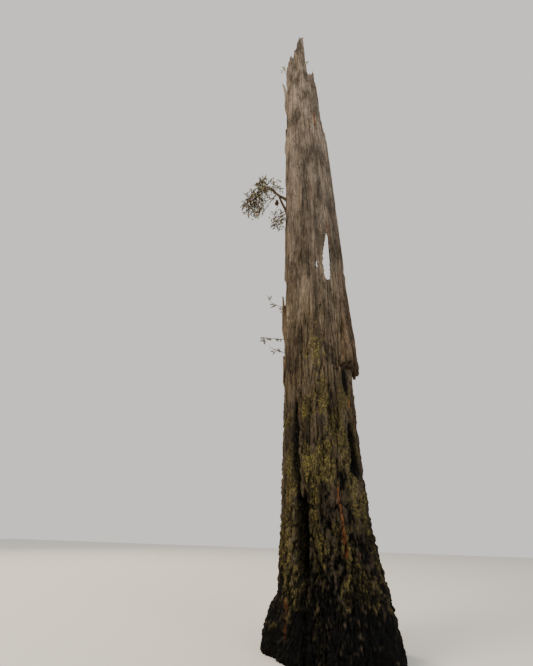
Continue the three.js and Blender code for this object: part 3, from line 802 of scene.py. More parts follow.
# A cutter through the front wall along an outline in the front view, with ragged edges.
def wallCutter(name, outline, pieces, seed):
    random = np.random.default_rng(seed)
    line = np.array(outline + outline[:1])
    share = np.linspace(0, len(outline), pieces, endpoint=False)
    flat = np.stack([np.interp(share, range(len(line)), line[:, i]) for i in (0, 1)], -1)
    jag = random.uniform(-1, 1, (pieces, 2)) * (window["ragged"], window["ragged"] * 1.6)
    rings = []
    for y in np.linspace(window["front"], window["back"], window["steps"]):
        rough = flat + jag + random.uniform(-1, 1, (pieces, 2)) * window["ragged"] * 0.35
        climb = window["slope"] * (y - window["face"])
        rings.append(np.stack([rough[:, 0], np.full(pieces, y), rough[:, 1] + climb], -1))
    return addObject(name, loft(name, rings[::-1] if signedArea(flat) > 0 else rings))


def signedArea(flat):
    x, z = flat.T
    return 0.5 * np.sum(x * np.roll(z, -1) - np.roll(x, -1) * z)


def cutWindow(mesh):
    shaped = addObject("windowBand", mesh)
    large, small = window["pieces"]
    cutters = [
        wallCutter("windowCutter", window["outline"], large, 31),
        wallCutter("holeCutter", window["smallHole"], small, 32),
    ]
    for cutter in cutters:
        cut = shaped.modifiers.new("cut", "BOOLEAN")
        cut.operation = "DIFFERENCE"
        cut.solver = "MANIFOLD"
        cut.object = cutter
    done = finishedMesh("trunkHollowLow", shaped)
    for cutter in cutters:
        bpy.data.objects.remove(cutter)
    return done


barkLook = {
    # Stretch along the trunk, scale, detail and roughness of each noise. A scale of 20 gives 50 mm spots.
    "noises": {
        "band": (0.04, 8, 5, 0.60),  # strips of bark 125 mm wide
        "fibre": (0.11, 17, 7, 0.68),  # bundles of fibre 60 mm wide and half a metre long
        "thread": (0.11, 62, 4, 0.70),  # threads 16 mm wide, coarser than the real ones so that they show
        "cloud": (0.30, 2.1, 5, 0.60),  # lighter and darker places half a metre wide
        "lace": (0.30, 19, 6, 0.72),  # soot and flakes in 50 mm spots
        "tuft": (0.80, 20, 7, 0.78),  # cushions of moss 50 mm wide, with finer ones in them
    },
    "shares": {
        "streaks": {"fibre": 0.26, "thread": 0.20, "lace": 0.28, "band": 0.26},  # of the wood's tone
        "height": {"fibre": 0.7, "thread": 0.35, "lace": 0.35},  # of the bump
    },
    # the noise that each set of tones follows
    "driven": {
        "fresh": "streaks",
        "weathered": "streaks",
        "inner": "streaks",
        "char": "lace",
        "moss": "tuft",
    },
    # what each factor reads, from which limits to which values
    "factors": {
        "drift": ("cloud", 0, 1, -0.55, 0.55),  # weathered patches
        "shade": ("cloud", 0.36, 0.62, 0.5, 1.2),  # dull and bright places
        "sootGaps": ("lace", 0.64, 0.52, 0.82, 1),  # the wood shows a little through thin soot
        "sootless": ("orange", 0, 1, 1, 0.25),  # wood that broke open lately is clean
        "dry": ("orange", 0, 1, 1, 0.4),  # and drier, so less darkened by dampness and painted shade
        "mossless": ("orange", 0, 1, 1, 0),
        "cushions": ("tuft", 0.38, 0.56, 0, 1),
        "onSoot": ("char", 0, 1, 0.9, 0.22),  # moss hardly grows on soot
        "deep": ("furrow", 0.2, 1, 1, 0.3),  # painted shade: furrows are darker than ribs, as if in shadow
        "rough": ("char", 0, 1, 0.93, 0.68),  # charcoal has a faint sheen
    },
    "products": {
        "sooty": ("char", "sootGaps", "sootless"),
        # dampness and painted shade, less on wood that broke open lately
        "soaked": ("dampAndShade", "dry"),
        "mossy": ("moss", "cushions", "mossless", "onSoot"),
    },
    "dampAndShadeTone": 0.26,  # what is left of the wood's colour at the full dampness and painted shade
    "mossDampAndShade": 0.62,  # how much of the dampness and the painted shade darkens the moss
    "bump": (0.75, 0.02),  # strength, and height in metres
    "gloss": 0.08,  # dry wood and soot hardly shine
}


# Redwood bark: fibrous, cinnamon under a grey-brown weathered skin, with moss and soot low down. Old bark is
# matt all over, and charcoal has a faint sheen.
def makeBarkMaterial(name, tones):
    material, tree, shader = newMaterial(name, {"Specular IOR Level": barkLook["gloss"]})
    place = addNode(tree, "ShaderNodeTexCoord").outputs["Object"]
    values = {}
    for key in ("furrow", "char", "moss", "orange", "weather", "dampAndShade"):
        values[key] = addNode(tree, "ShaderNodeAttribute", attribute_name=key).outputs["Fac"]
    for key, (stretch, scale, detail, roughness) in barkLook["noises"].items():
        drawnOut = addNode(tree, "ShaderNodeMapping", {"Vector": place, "Scale": (1, 1, stretch)})
        long = drawnOut.outputs["Vector"]
        settings = {"Vector": long, "Scale": scale, "Detail": detail, "Roughness": roughness}
        values[key] = addNode(tree, "ShaderNodeTexNoise", settings).outputs["Fac"]
    for key, shares in barkLook["shares"].items():
        total = 0.0
        for source, share in shares.items():
            parts = {0: values[source], 1: share, 2: total}
            total = addNode(tree, "ShaderNodeMath", parts, operation="MULTIPLY_ADD").outputs[0]
        values[key] = total
    for key, (source, low, high, first, last) in barkLook["factors"].items():
        limits = {"Value": values[source], "From Min": low, "From Max": high, "To Min": first, "To Max": last}
        values[key] = addNode(tree, "ShaderNodeMapRange", limits).outputs["Result"]
    for key, sources in barkLook["products"].items():
        product = values[sources[0]]
        for source in sources[1:]:
            parts = {0: product, 1: values[source]}
            product = addNode(tree, "ShaderNodeMath", parts, operation="MULTIPLY").outputs[0]
        values[key] = product
    # dampness and painted shade darken the wood and the moss
    limits = {"Value": values["soaked"], "To Min": 1, "To Max": barkLook["dampAndShadeTone"]}
    dampAndShadeDarkening = addNode(tree, "ShaderNodeMapRange", limits).outputs["Result"]
    parts = {0: values["weather"], 1: values["drift"]}
    weathered = addNode(tree, "ShaderNodeMath", parts, operation="ADD", use_clamp=True).outputs[0]
    colours = {}
    for key, source in barkLook["driven"].items():
        ramp = addNode(tree, "ShaderNodeValToRGB", {"Fac": values[source]}, tones[key])
        colours[key] = ramp.outputs["Color"]
    mossDarkening = {0: barkLook["mossDampAndShade"], 6: colours["moss"], 7: dampAndShadeDarkening}
    green = addNode(tree, "ShaderNodeMix", mossDarkening, data_type="RGBA", blend_type="MULTIPLY").outputs[2]
    # the wood's colour, from the first layer to the last: how it is laid on, how much of it, and its colour
    layers = [
        ("MIX", weathered, colours["weathered"]),
        ("MIX", values["orange"], colours["inner"]),
        ("MULTIPLY", 1.0, values["shade"]),
        ("MIX", values["sooty"], colours["char"]),
        # darker with dampness and painted shade
        ("MULTIPLY", 1.0, dampAndShadeDarkening),
        ("MIX", values["mossy"], green),
        # painted shade in the furrows
        ("MULTIPLY", 1.0, values["deep"]),
    ]
    wood = colours["fresh"]
    for kind, factor, colour in layers:
        layer = {0: factor, 6: wood, 7: colour}
        wood = addNode(tree, "ShaderNodeMix", layer, data_type="RGBA", blend_type=kind).outputs[2]
    tree.links.new(wood, shader.inputs["Base Color"])
    tree.links.new(values["rough"], shader.inputs["Roughness"])
    strength, distance = barkLook["bump"]
    settings = {"Height": values["height"], "Strength": strength, "Distance": distance}
    bump = addNode(tree, "ShaderNodeBump", settings).outputs["Normal"]
    tree.links.new(bump, shader.inputs["Normal"])
    return material


# Stops of the colour ramps: the wood's two skins and its inside, moss and soot
trunkTones = {
    "fresh": [(0.34, "#1a1611"), (0.44, "#3b3227"), (0.53, "#605341"), (0.64, "#8a795f"), (0.76, "#ab9878")],
    "weathered": [
        (0.34, "#332d27"), (0.44, "#5c5248"), (0.53, "#7f7264"), (0.64, "#a29483"), (0.76, "#beaf9b"),
    ],
    "inner": [(0.36, "#3a2417"), (0.5, "#714528"), (0.62, "#97673f"), (0.76, "#b08458")],
    "moss": [(0.38, "#1b1a0e"), (0.48, "#464020"), (0.58, "#82763e"), (0.72, "#b0a464")],
    "char": [(0.4, "#010101"), (0.55, "#060504"), (0.7, "#14110e")],
}


# The trunk in five bands, each under the limit of triangles of one piece
def makeTrunk():
    outer, top, inner = trunkRings()
    low, high, deep = trunk["lowRows"], trunk["highRows"], trunk["innerRows"]
    middle = low // 2
    cuts = [low + round(high * share) for share in (1 / 3, 2 / 3)]
    inCuts = [round(deep * (1 - share)) for share in (1 / 3, 2 / 3)]
    around = outer[cuts[0]:cuts[1] + 1] + inner[inCuts[1]:inCuts[0] + 1]
    bands = {
        "trunkFoot": loft("trunkFoot", outer[:middle + 1]),
        "trunkLower": loft("trunkLower", outer[middle:low + 1]),
        "trunkHollowLow": cutWindow(loft("trunkHollowLow", outer[low:cuts[0] + 1] + inner[inCuts[0]:])),
        "trunkHollowMiddle": loft("trunkHollowMiddle", around, "round"),
        "trunkTop": loft("trunkTop", outer[cuts[1]:] + top + inner[:inCuts[1] + 1], "round"),
    }
    material = makeBarkMaterial("weathered redwood bark and charred wood", trunkTones)
    for name, mesh in bands.items():
        dressTrunk(mesh)
        addPiece(name, mesh, material, "bark", "trunk")
        print(name, len(mesh.polygons), "faces")


makeTrunk()


# The slab that hangs on the right side, with a ragged foot that stands off the trunk

slab = {
    "low": 6.78,
    "high": 19.9,
    "leftAtFoot": -58,  # angles of its edges
    "leftAtTop": -30,
    "rightAtFoot": 24,
    "rightAtTop": 6,
    "thickness": 0.092,
    "footThickness": 0.150,  # more of it at the foot, and how far up that reaches
    "footSpread": 2.6,
    "loose": 0.095,  # how far its foot stands off the trunk
    "looseBelow": 7.9,
    "tooth": 0.21,  # height of the solid's teeth in its foot
    "teeth": 16,
    "rows": 210,
    "steps": 130,
    "ragged": (0.34, 0.12),  # deepest of the broad and the fine notches in its foot
    "frayed": 2.4,  # degrees that its edges wander
    "bedded": 0.07,  # how far its inner side lies in the trunk where it isn't loose
    "thinnest": 0.03,
}
# redder than the trunk, as torn bark is
slabTones = {
    **trunkTones,
    "fresh": [(0.36, "#1e160f"), (0.46, "#3c3023"), (0.54, "#5e4c38"), (0.64, "#887156"), (0.76, "#a9926f")],
}


# One side of the slab at one row, from its left edge to its right, and how much painted shade each point
# gets: by its depth in a furrow outside, evenly on its inner side
def slabSide(share, row, foot, outside):
    z = mix(foot, slab["high"], (row / slab["rows"]) ** 1.35)  # rows are closer together at the foot
    up = np.clip((z - slab["low"]) / (slab["high"] - slab["low"]), 0, 1)
    wavy = np.abs(grain(share * 40, z, 9, 0.5, 201)) + 0.5 * np.abs(grain(share * 40, z, 9, 0.13, 202))
    frayed = slab["frayed"] * wavy
    left = mix(slab["leftAtFoot"], slab["leftAtTop"], np.minimum(1, up * 3.2) ** 0.5) + frayed
    right = mix(slab["rightAtFoot"], slab["rightAtTop"], up) - frayed
    angle = mix(left, right, share)
    edge = np.minimum(1, 4 * np.minimum(share, 1 - share) + 0.35)  # thinner at both edges
    thin = mix(0.12, 1, smooth(1 - up, 0, 0.1))  # and at its top
    thickness = slab["thickness"] + slab["footThickness"] * np.exp((slab["low"] - z) / slab["footSpread"])
    hanging = smooth(slab["looseBelow"] - z, 0, slab["looseBelow"] - slab["low"])
    loose = slab["loose"] * hanging * smooth(share, 0.35, 0.8)
    inner = np.where(loose > 0.001, loose, -slab["bedded"])
    outer = np.maximum(loose + slab["thinnest"], thickness * edge * thin)
    if not outside:
        # the inner side faces the trunk, so it gets an even painted shade
        return sidePoint(angle, z, radiusAt(angle, z) + inner), z * 0 + 0.6
    relief = np.maximum(barkRelief(angle % 360, z, 0.3 * charMask(angle, z)), -0.6 * (outer - inner))
    # deeper in a furrow gets more painted shade
    return sidePoint(angle, z, radiusAt(angle, z) + outer + relief), -relief / 0.07


def makeSlab():
    draw = numberStream(23)
    teeth = [(1 if i % 2 else -0.2) * draw(0.4, 1) * slab["tooth"] for i in range(slab["teeth"] + 1)]
    share = np.linspace(0, 1, slab["steps"] + 1)
    broad, fine = slab["ragged"]
    notches = notchesAlong(len(share), 203, 12, broad) + notchesAlong(len(share), 204, 4, fine)
    foot = slab["low"] + np.interp(share * slab["teeth"], range(len(teeth)), teeth) + notches
    rings, furrows = [], []
    for row in range(slab["rows"] + 1):
        outer, outerFurrow = slabSide(share, row, foot, True)
        inner, innerFurrow = slabSide(share, row, foot, False)
        rings.append(np.concatenate([outer, inner[::-1]]))
        furrows.append(np.concatenate([outerFurrow, innerFurrow[::-1]]))
    mesh = loft("slab", rings, "plank")
    dress(mesh, np.concatenate(furrows))
    material = makeBarkMaterial("torn redwood bark and outer wood", slabTones)
    addPiece("slabRight", mesh, material, "slab", "slab_right")
    print("slab", len(mesh.polygons), "faces")


makeSlab()


# Splinters: each one is a sheaf of slivers that lie on the trunk and stand off it at their tips.

splinters = {
    # name: angle, lowest and highest point, width, thickness, how far the tip stands off
    "splinter_upper_left": (184, 21.30, 24.32, 0.28, 0.125, 0.190),
    "splinter_high_left": (182, 18.10, 20.15, 0.24, 0.085, 0.050),
    "splinter_middle_left": (181, 8.25, 9.92, 0.42, 0.085, 0.090),
    "splinter_lower_left": (184, 6.40, 7.53, 0.33, 0.075, 0.030),
}
sheaf = {
    "slivers": 7,
    "rows": 34,
    # section of a sliver: share of its half width and of its thickness, and -1 for its inner side
    "around": [(-1, -1.0), (-1, 0.45), (-0.5, 0.85), (0, 1.0), (0.5, 0.8), (1, 0.4), (1, -1.0)],
    "bedded": 0.08,  # how far its lower part lies in the trunk
    "widths": (0.62, 0.42),  # of the middle sliver and the others, as shares of the splinter's
    "fanned": 0.62,  # share of the splinter's width that the slivers stand across
    "freeFrom": 0.6,  # share of a sliver's length above which its inner side is clear of the trunk
}
# paler than the trunk, as split wood is
splinterTones = {
    **trunkTones,
    "fresh": [(0.36, "#241a12"), (0.46, "#4a3a2a"), (0.54, "#705c42"), (0.64, "#9a825c"), (0.76, "#b8a077")],
}


# One mesh of several, which are deleted
def joined(name, parts):
    points, faces, count = [], [], 0
    for mesh in parts:
        triangles = np.empty(len(mesh.polygons) * 3, int)
        mesh.polygons.foreach_get("vertices", triangles)
        points.append(vertexPlaces(mesh))
        faces.append(triangles.reshape(-1, 3) + count)
        count += len(mesh.vertices)
        bpy.data.meshes.remove(mesh)
    return meshFrom(name, np.concatenate(points), np.concatenate(faces))


# One sliver: narrow and thin at both ends, a little bent, with rough edges
def sliver(angle, low, high, width, thickness, stand, seed):
    across, depths = np.transpose(sheaf["around"])
    rings = []
    for row in range(sheaf["rows"] + 1):
        up = row / sheaf["rows"]
        z = mix(low, high, up)
        half = width / 2 * (1 - 0.85 * up ** 2.6) * (0.5 + 0.5 * min(1, up * 6))
        deep = mix(thickness, 0.55 * thickness, up ** 2) * (0.35 + 0.65 * min(1, up * 5))
        bend = 0.35 * width * float(grain(np.array(seed * 37.0), np.array(z), 9, 0.7, 211)) * up
        rough = 1 + 0.25 * float(grain(np.array(seed * 61.0), np.array(z), 9, 0.06, 212))
        reach = stand * up ** 3
        spread = np.degrees((across * half * rough + bend) / radiusAt(angle, z))
        inner = -sheaf["bedded"] if up < sheaf["freeFrom"] else reach
        out = np.where(depths > 0, reach + deep * depths, inner)
        rings.append(sidePoint(angle + spread, z, radiusAt(angle + spread, z) + out))
    return loft("sliver", rings)


def makeSplinters():
    material = makeBarkMaterial("weathered split redwood", splinterTones)
    for index, (name, (angle, low, high, width, thickness, stand)) in enumerate(splinters.items()):
        random = np.random.default_rng(220 + index)
        parts = []
        for i in range(sheaf["slivers"]):
            across = (i / (sheaf["slivers"] - 1) - 0.5) * width * sheaf["fanned"]
            tip = 1 if i == sheaf["slivers"] // 2 else random.uniform(0.45, 0.92)
            start = low + (high - low) * random.uniform(0, 0.18)
            wide = width * sheaf["widths"][0 if tip == 1 else 1]
            # the trunk's half width is about a metre, so a width in metres is an angle in radians
            place, end, reach = angle + math.degrees(across), mix(low, high, tip), stand * tip ** 2
            parts.append(sliver(place, start, end, wide, thickness, reach, index * 10 + i))
        mesh = joined(name, parts)
        dress(mesh, 0.2)
        addPiece(pieceName(name), mesh, material, "splinter", name)
    makeRimSlivers(material)


rimSlivers = {
    "count": 150,
    "reach": 0.22,  # how far they stand above the rim at most
    "highest": 28.02,  # none is higher than the spire
    "length": (0.35, 0.9),
    "width": (0.03, 0.10),
    "thickness": (0.015, 0.04),
    "rows": 12,
}


# Thin slivers that stand in the broken rim
def makeRimSlivers(material):
    random = np.random.default_rng(231)
    rim, notches = rimHeights(), rimNotches(81, 7)
    parts = []
    for i in range(rimSlivers["count"]):
        column = int(random.integers(trunk["columns"]))
        angle, top = columnAngles[column], rim[column] - notches[column]
        sunk = random.uniform(0.02, 0.75) * float(wallAt(angle, top))
        high = top + random.uniform(-0.15, 1) * rimSlivers["reach"] - 0.4 * sunk
        high = min(high, rimSlivers["highest"])
        low = high - random.uniform(*rimSlivers["length"])
        width, thickness = random.uniform(*rimSlivers["width"]), random.uniform(*rimSlivers["thickness"])
        rings = []
        for up in np.linspace(0, 1, rimSlivers["rows"]):
            half = width / 2 * (1 - 0.94 * up ** 1.3)
            deep = thickness * (1 - 0.9 * up)
            z = mix(low, high, up)
            sway = 0.3 * width * math.sin(5 * up + i)
            spread = np.degrees(np.array([-half, half, 0]) + sway) / radiusAt(angle, z)
            out = np.array([0, 0, deep]) - sunk + 0.04 * up
            rings.append(sidePoint(angle + spread, z, radiusAt(angle + spread, z) + out))
        parts.append(loft("sliver", rings))
    mesh = joined("rimSlivers", parts)
    dress(mesh, 0.15)
    addPiece("rimSlivers", mesh, material, "splinter")
    print("splinters made")


makeSplinters()


# Boughs

boughs = {
    "bough_outer": {
        "points": [
            (-0.890, -0.030, 14.960), (-1.120, -0.080, 15.133), (-1.271, -0.120, 15.235),
            (-1.442, -0.180, 15.374), (-1.595, -0.220, 15.504),
        ],
        "thick": 0.068,  # half thickness at its root
        "thin": 0.034,
    },
    "bough_lower": {
        "points": [
            (-0.900, 0.010, 14.180), (-1.046, 0.0, 14.600), (-1.143, -0.045, 14.834),
            (-1.265, -0.110, 15.190),
        ],
        "thick": 0.060,
        "thin": 0.046,
    },
    "bough_upper": {
        "points": [(-1.415, -0.170, 15.340), (-1.455, -0.155, 15.480), (-1.540, -0.135, 15.640)],
        "thick": 0.034,
        "thin": 0.022,
    },
}
limb = {
    "sides": 30,
    "spacing": 0.012,  # between two rings
    "furrow": 0.13,  # depth of the cracks, as a share of the half thickness
    "collar": 0.7,  # how much thicker the root is, and how far that reaches
    "collarReach": 0.09,
    "curveSteps": 24,
}


# Even points along a smooth curve through the given ones
def smoothLine(points, count):
    line = [Vector(p) for p in points]
    line = [line[0] * 2 - line[1], *line, line[-1] * 2 - line[-2]]
    fine = []
    for a, b, c, d in zip(line, line[1:], line[2:], line[3:]):
        for step in range(limb["curveSteps"]):
            t = step / limb["curveSteps"]
            squared, cubed = (2 * a - 5 * b + 4 * c - d) * t ** 2, (3 * b - 3 * c + d - a) * t ** 3
            fine.append(0.5 * (2 * b + (c - a) * t + squared + cubed))
    fine = np.array([*fine, line[-2]])
    reach = np.concatenate([[0], np.cumsum(np.linalg.norm(np.diff(fine, axis=0), axis=1))])
    even = np.linspace(0, reach[-1], count)
    return np.stack([np.interp(even, reach, fine[:, i]) for i in range(3)], -1), reach[-1]


# A bough: cracked and lumpy, and thicker at its root
def limbMesh(name, points, thick, thin, seed):
    _, length = smoothLine(points, 2)
    count = max(8, int(length / limb["spacing"]))
    line, _ = smoothLine(points, count)
    across = Vector((0, 1, 0))
    degrees = np.arange(limb["sides"]) * 360 / limb["sides"]
    rings = []
    for i in range(count):
        ahead = Vector(line[min(i + 1, count - 1)] - line[max(i - 1, 0)]).normalized()
        across = (across - ahead * across.dot(ahead)).normalized()
        above = ahead.cross(across)
        place = length * i / (count - 1)
        plain = mix(thick, thin, i / (count - 1))
        level = degrees * 0 + place
        furrow = np.clip(1 - np.abs(grain(degrees, level, 9, 0.16, seed)) / 0.3, 0, 1)
        rough = 0.05 * grain(degrees, level, 14, 0.03, seed + 1)
        rough = rough + 0.06 * grain(degrees, level, 4, 0.3, seed + 2)
        collar = limb["collar"] * math.exp(-place / limb["collarReach"])
        radius = plain * (1 - limb["furrow"] * furrow + rough + collar)
        a = np.radians(degrees)
        side = np.outer(np.cos(a) * radius, across) + np.outer(np.sin(a) * radius, above)
        rings.append(line[i] + side)
    return loft(name, rings)


# Bark of a bough or a bare twig: thin, brown, in small scales that give it a rough, matt skin
def makeBoughMaterial(name, tones, fine):
    material, tree, shader = newMaterial(name, {"Roughness": 0.88, "Specular IOR Level": 0.25})
    place = addNode(tree, "ShaderNodeTexCoord").outputs["Object"]
    settings = {"Vector": place, "Scale": fine, "Detail": 6, "Roughness": 0.7}
    scales = addNode(tree, "ShaderNodeTexNoise", settings).outputs["Fac"]
    colour = addNode(tree, "ShaderNodeValToRGB", {"Fac": scales}, tones).outputs["Color"]
    tree.links.new(colour, shader.inputs["Base Color"])
    bump = addNode(tree, "ShaderNodeBump", {"Height": scales, "Strength": 0.8, "Distance": 0.006})
    tree.links.new(bump.outputs["Normal"], shader.inputs["Normal"])
    return material


boughTones = [(0.35, "#1d150f"), (0.5, "#40301f"), (0.62, "#66523a"), (0.75, "#8b7757")]
deadTones = [(0.35, "#2a2119"), (0.5, "#4c3d30"), (0.65, "#6f5d4b")]
boughBark = makeBoughMaterial("scaly bough bark", boughTones, 40)  # scales of bark about 25 mm long
deadBark = makeBoughMaterial("weathered bare twig wood", deadTones, 70)  # cracks about 14 mm apart


def makeBoughs():
    for index, (name, shape) in enumerate(boughs.items()):
        mesh = limbMesh(name, shape["points"], shape["thick"], shape["thin"], 301 + 10 * index)
        mesh.shade_smooth()
        addPiece(pieceName(name), mesh, boughBark, "bough", name)
    print("boughs made")


makeBoughs()


# Geometry Nodes for twigs, which are tubes along lines, and for needles, which stand in two ranks along lines

# A tree of nodes with named inputs, and those inputs as its first node gives them
def treeWith(name, sockets):
    tree = bpy.data.node_groups.new(name, "GeometryNodeTree")
    tree.is_modifier = True
    tree.interface.new_socket("Geometry", in_out="INPUT", socket_type="NodeSocketGeometry")
    for label, kind, value in sockets:
        socket = tree.interface.new_socket(label, in_out="INPUT", socket_type=kind)
        if value is not None:
            socket.default_value = value
    tree.interface.new_socket("Geometry", in_out="OUTPUT", socket_type="NodeSocketGeometry")
    return tree, addNode(tree, "NodeGroupInput").outputs


# The last nodes of a tree, which give real geometry that wears its material
def endTree(tree, geometry, material):
    solid = addNode(tree, "GeometryNodeRealizeInstances", {"Geometry": geometry}).outputs["Geometry"]
    dressed = addNode(tree, "GeometryNodeSetMaterial", {"Geometry": solid, "Material": material})
    addNode(tree, "NodeGroupOutput", {"Geometry": dressed.outputs["Geometry"]})
    return tree


def makeTwigTree():
    sockets = [("Sides", "NodeSocketInt", 5), ("Bark", "NodeSocketMaterial", None)]
    tree, given = treeWith("twigs along lines", sockets)
    line = addNode(tree, "GeometryNodeMeshToCurve", {"Mesh": given["Geometry"]}).outputs["Curve"]
    circle = {"Resolution": given["Sides"], "Radius": 1.0}
    profile = addNode(tree, "GeometryNodeCurvePrimitiveCircle", circle).outputs["Curve"]
    thick = addNode(tree, "GeometryNodeInputNamedAttribute", {"Name": "thick"}, data_type="FLOAT")
    thick = thick.outputs["Attribute"]
    ends = {"Curve": line, "Profile Curve": profile, "Scale": thick, "Fill Caps": True}
    tube = addNode(tree, "GeometryNodeCurveToMesh", ends).outputs["Mesh"]
    return endTree(tree, tube, given["Bark"])


needle = {
    "corners": 6,  # a flat leaf, pointed at both ends
    "wander": 0.22,  # radians that each leans more or less than its rank
    "raised": 0.25,  # radians that a rank is turned about its twig
    "last": 0.6,  # size of those at the twig's tip, beside those at its root
}


def makeNeedleTree():
    tree, given = treeWith("needles in two ranks", [
        ("Spacing", "NodeSocketFloat", 0.005),
        ("Length", "NodeSocketFloat", 0.022),
        ("Width", "NodeSocketFloat", 0.003),
        ("Lean", "NodeSocketFloat", 1.05),  # radians from the twig
        ("Seed", "NodeSocketInt", 1),
        ("Leaf", "NodeSocketMaterial", None),
    ])
    line = addNode(tree, "GeometryNodeMeshToCurve", {"Mesh": given["Geometry"]}).outputs["Curve"]
    spaced = {"Curve": line, "Length": given["Spacing"]}
    points = addNode(tree, "GeometryNodeResampleCurve", spaced, mode="LENGTH").outputs["Curve"]
    flat = addNode(tree, "GeometryNodeInputNamedAttribute", {"Name": "flat"}, data_type="FLOAT_VECTOR")
    ahead = addNode(tree, "GeometryNodeInputTangent").outputs["Tangent"]
    axes = {"Primary Axis": flat.outputs["Attribute"], "Secondary Axis": ahead}
    plane = addNode(tree, "FunctionNodeAxesToRotation", axes, primary_axis="Z", secondary_axis="Y")
    plane = plane.outputs["Rotation"]
    outline = {"Vertices": needle["corners"], "Radius": 0.5}
    disc = addNode(tree, "GeometryNodeMeshCircle", outline, fill_type="NGON").outputs["Mesh"]
    quarter = {"Geometry": disc, "Rotation": (0, 0, math.pi / 2)}
    pointed = addNode(tree, "GeometryNodeTransform", quarter).outputs["Geometry"]
    size = addNode(tree, "ShaderNodeCombineXYZ", {"X": given["Width"], "Y": given["Length"], "Z": 1.0})
    halfway = addNode(tree, "ShaderNodeMath", {0: given["Length"], 1: 0.5}, operation="MULTIPLY").outputs[0]
    shift = addNode(tree, "ShaderNodeCombineXYZ", {"Y": halfway}).outputs["Vector"]
    shaped = {"Geometry": pointed, "Scale": size.outputs["Vector"], "Translation": shift}
    leaf = addNode(tree, "GeometryNodeTransform", shaped).outputs["Geometry"]
    along = addNode(tree, "GeometryNodeSplineParameter").outputs["Factor"]
    sizes = {"Value": along, "To Min": 1.0, "To Max": needle["last"]}
    taper = addNode(tree, "ShaderNodeMapRange", sizes).outputs["Result"]
    both = addNode(tree, "GeometryNodeJoinGeometry")
    for side in (-1, 1):
        limits = {2: -needle["wander"], 3: needle["wander"], "Seed": given["Seed"]}
        jitter = addNode(tree, "FunctionNodeRandomValue", limits, data_type="FLOAT").outputs[1]
        lean = addNode(tree, "ShaderNodeMath", {0: given["Lean"], 1: jitter}, operation="ADD").outputs[0]
        aim = addNode(tree, "ShaderNodeMath", {0: lean, 1: float(side)}, operation="MULTIPLY").outputs[0]
        angles = {"X": jitter, "Y": needle["raised"] * side, "Z": aim}
        euler = addNode(tree, "ShaderNodeCombineXYZ", angles).outputs["Vector"]
        swing = addNode(tree, "FunctionNodeEulerToRotation", {"Euler": euler}).outputs["Rotation"]
        swung = {"Rotation": plane, "Rotate By": swing}
        turned = addNode(tree, "FunctionNodeRotateRotation", swung, rotation_space="LOCAL")
        turned = turned.outputs["Rotation"]
        placed = {"Points": points, "Instance": leaf, "Rotation": turned, "Scale": taper}
        rank = addNode(tree, "GeometryNodeInstanceOnPoints", placed).outputs["Instances"]
        tree.links.new(rank, both.inputs["Geometry"])
    return endTree(tree, both.outputs["Geometry"], given["Leaf"])


# Lines of growth as a mesh of edges. Values are one list for each line.
def linesObject(name, lines, attribute, kind, values):
    places = [Vector(p) for line in lines for p in line]
    edges, start = [], 0
    for line in lines:
        edges += [(start + i, start + i + 1) for i in range(len(line) - 1)]
        start += len(line)
    mesh = bpy.data.meshes.new(name)
    mesh.from_pydata(places, edges, [])
    layer = mesh.attributes.new(attribute, kind, "POINT")
    flattened = np.array([v for value in values for v in value], "f").ravel()
    layer.data.foreach_set("value" if kind == "FLOAT" else "vector", flattened)
    return addObject(name, mesh)


# What a tree of nodes makes of the lines. Each input is found by its name and set by its identifier.
def grown(name, lines, tree, inputs):
    modifier = lines.modifiers.new("grow", "NODES")
    modifier.node_group = tree
    for socket in tree.interface.items_tree:
        if socket.item_type == "SOCKET" and socket.in_out == "INPUT" and socket.name in inputs:
            modifier[socket.identifier] = inputs[socket.name]
    mesh = finishedMesh(name, lines)
    for extra in [a.name for a in mesh.attributes if a.name in ("flat", "thick")]:
        mesh.attributes.remove(mesh.attributes[extra])
    return mesh


twigTree = makeTwigTree()
needleTree = makeNeedleTree()


# Each twig is a line with its half thickness at the first and the last point.
def addTwigs(name, twigs, sides, material, slotName, *nodes):
    thick = [np.linspace(first, last, len(line)) for line, first, last in twigs]
    lines = linesObject(name, [line for line, first, last in twigs], "thick", "FLOAT", thick)
    mesh = grown(name, lines, twigTree, {"Sides": sides, "Bark": material})
    return addPiece(name, mesh, material, slotName, *nodes)


# Each spray is a line with the direction that the plane of its needles faces.
def addNeedles(name, sprays, settings, material, slotName, *nodes):
    flats = [[flat] * len(line) for line, flat in sprays]
    lines = linesObject(name, [line for line, flat in sprays], "flat", "FLOAT_VECTOR", flats)
    mesh = grown(name, lines, needleTree, {**settings, "Leaf": material})
    return addPiece(name, mesh, material, slotName, *nodes)


# One plain green, olive or brown for each spray. Living needles have a satin, waxy skin, and dry ones and
# twigs are matt.
def plainMaterial(name, code, roughness=0.5):
    values = {"Base Color": srgb(code), "Roughness": roughness, "Specular IOR Level": 0.35}
    return newMaterial(name, values)[0]


leafTints = {
    "deep": plainMaterial("deep olive-brown redwood needles", "#403a22"),
    "olive": plainMaterial("olive redwood needles", "#5d5430"),
    "sunlit": plainMaterial("yellow-green redwood needles", "#8f8a48"),
    "tan": plainMaterial("dry tan redwood needles", "#755a3a", 0.7),
    "young": plainMaterial("young yellow-green needles", "#a3a142"),
    "dead": plainMaterial("dead brown needles", "#5a4029", 0.8),
    "withered": plainMaterial("withered grey-brown needles", "#7a6248", 0.8),
}
twigBark = plainMaterial("thin brown twig bark", "#4e3b27", 0.8)


shadedTints = [("olive", 0.4), ("deep", 0.4), ("tan", 0.2)]  # of the shoots low on the trunk

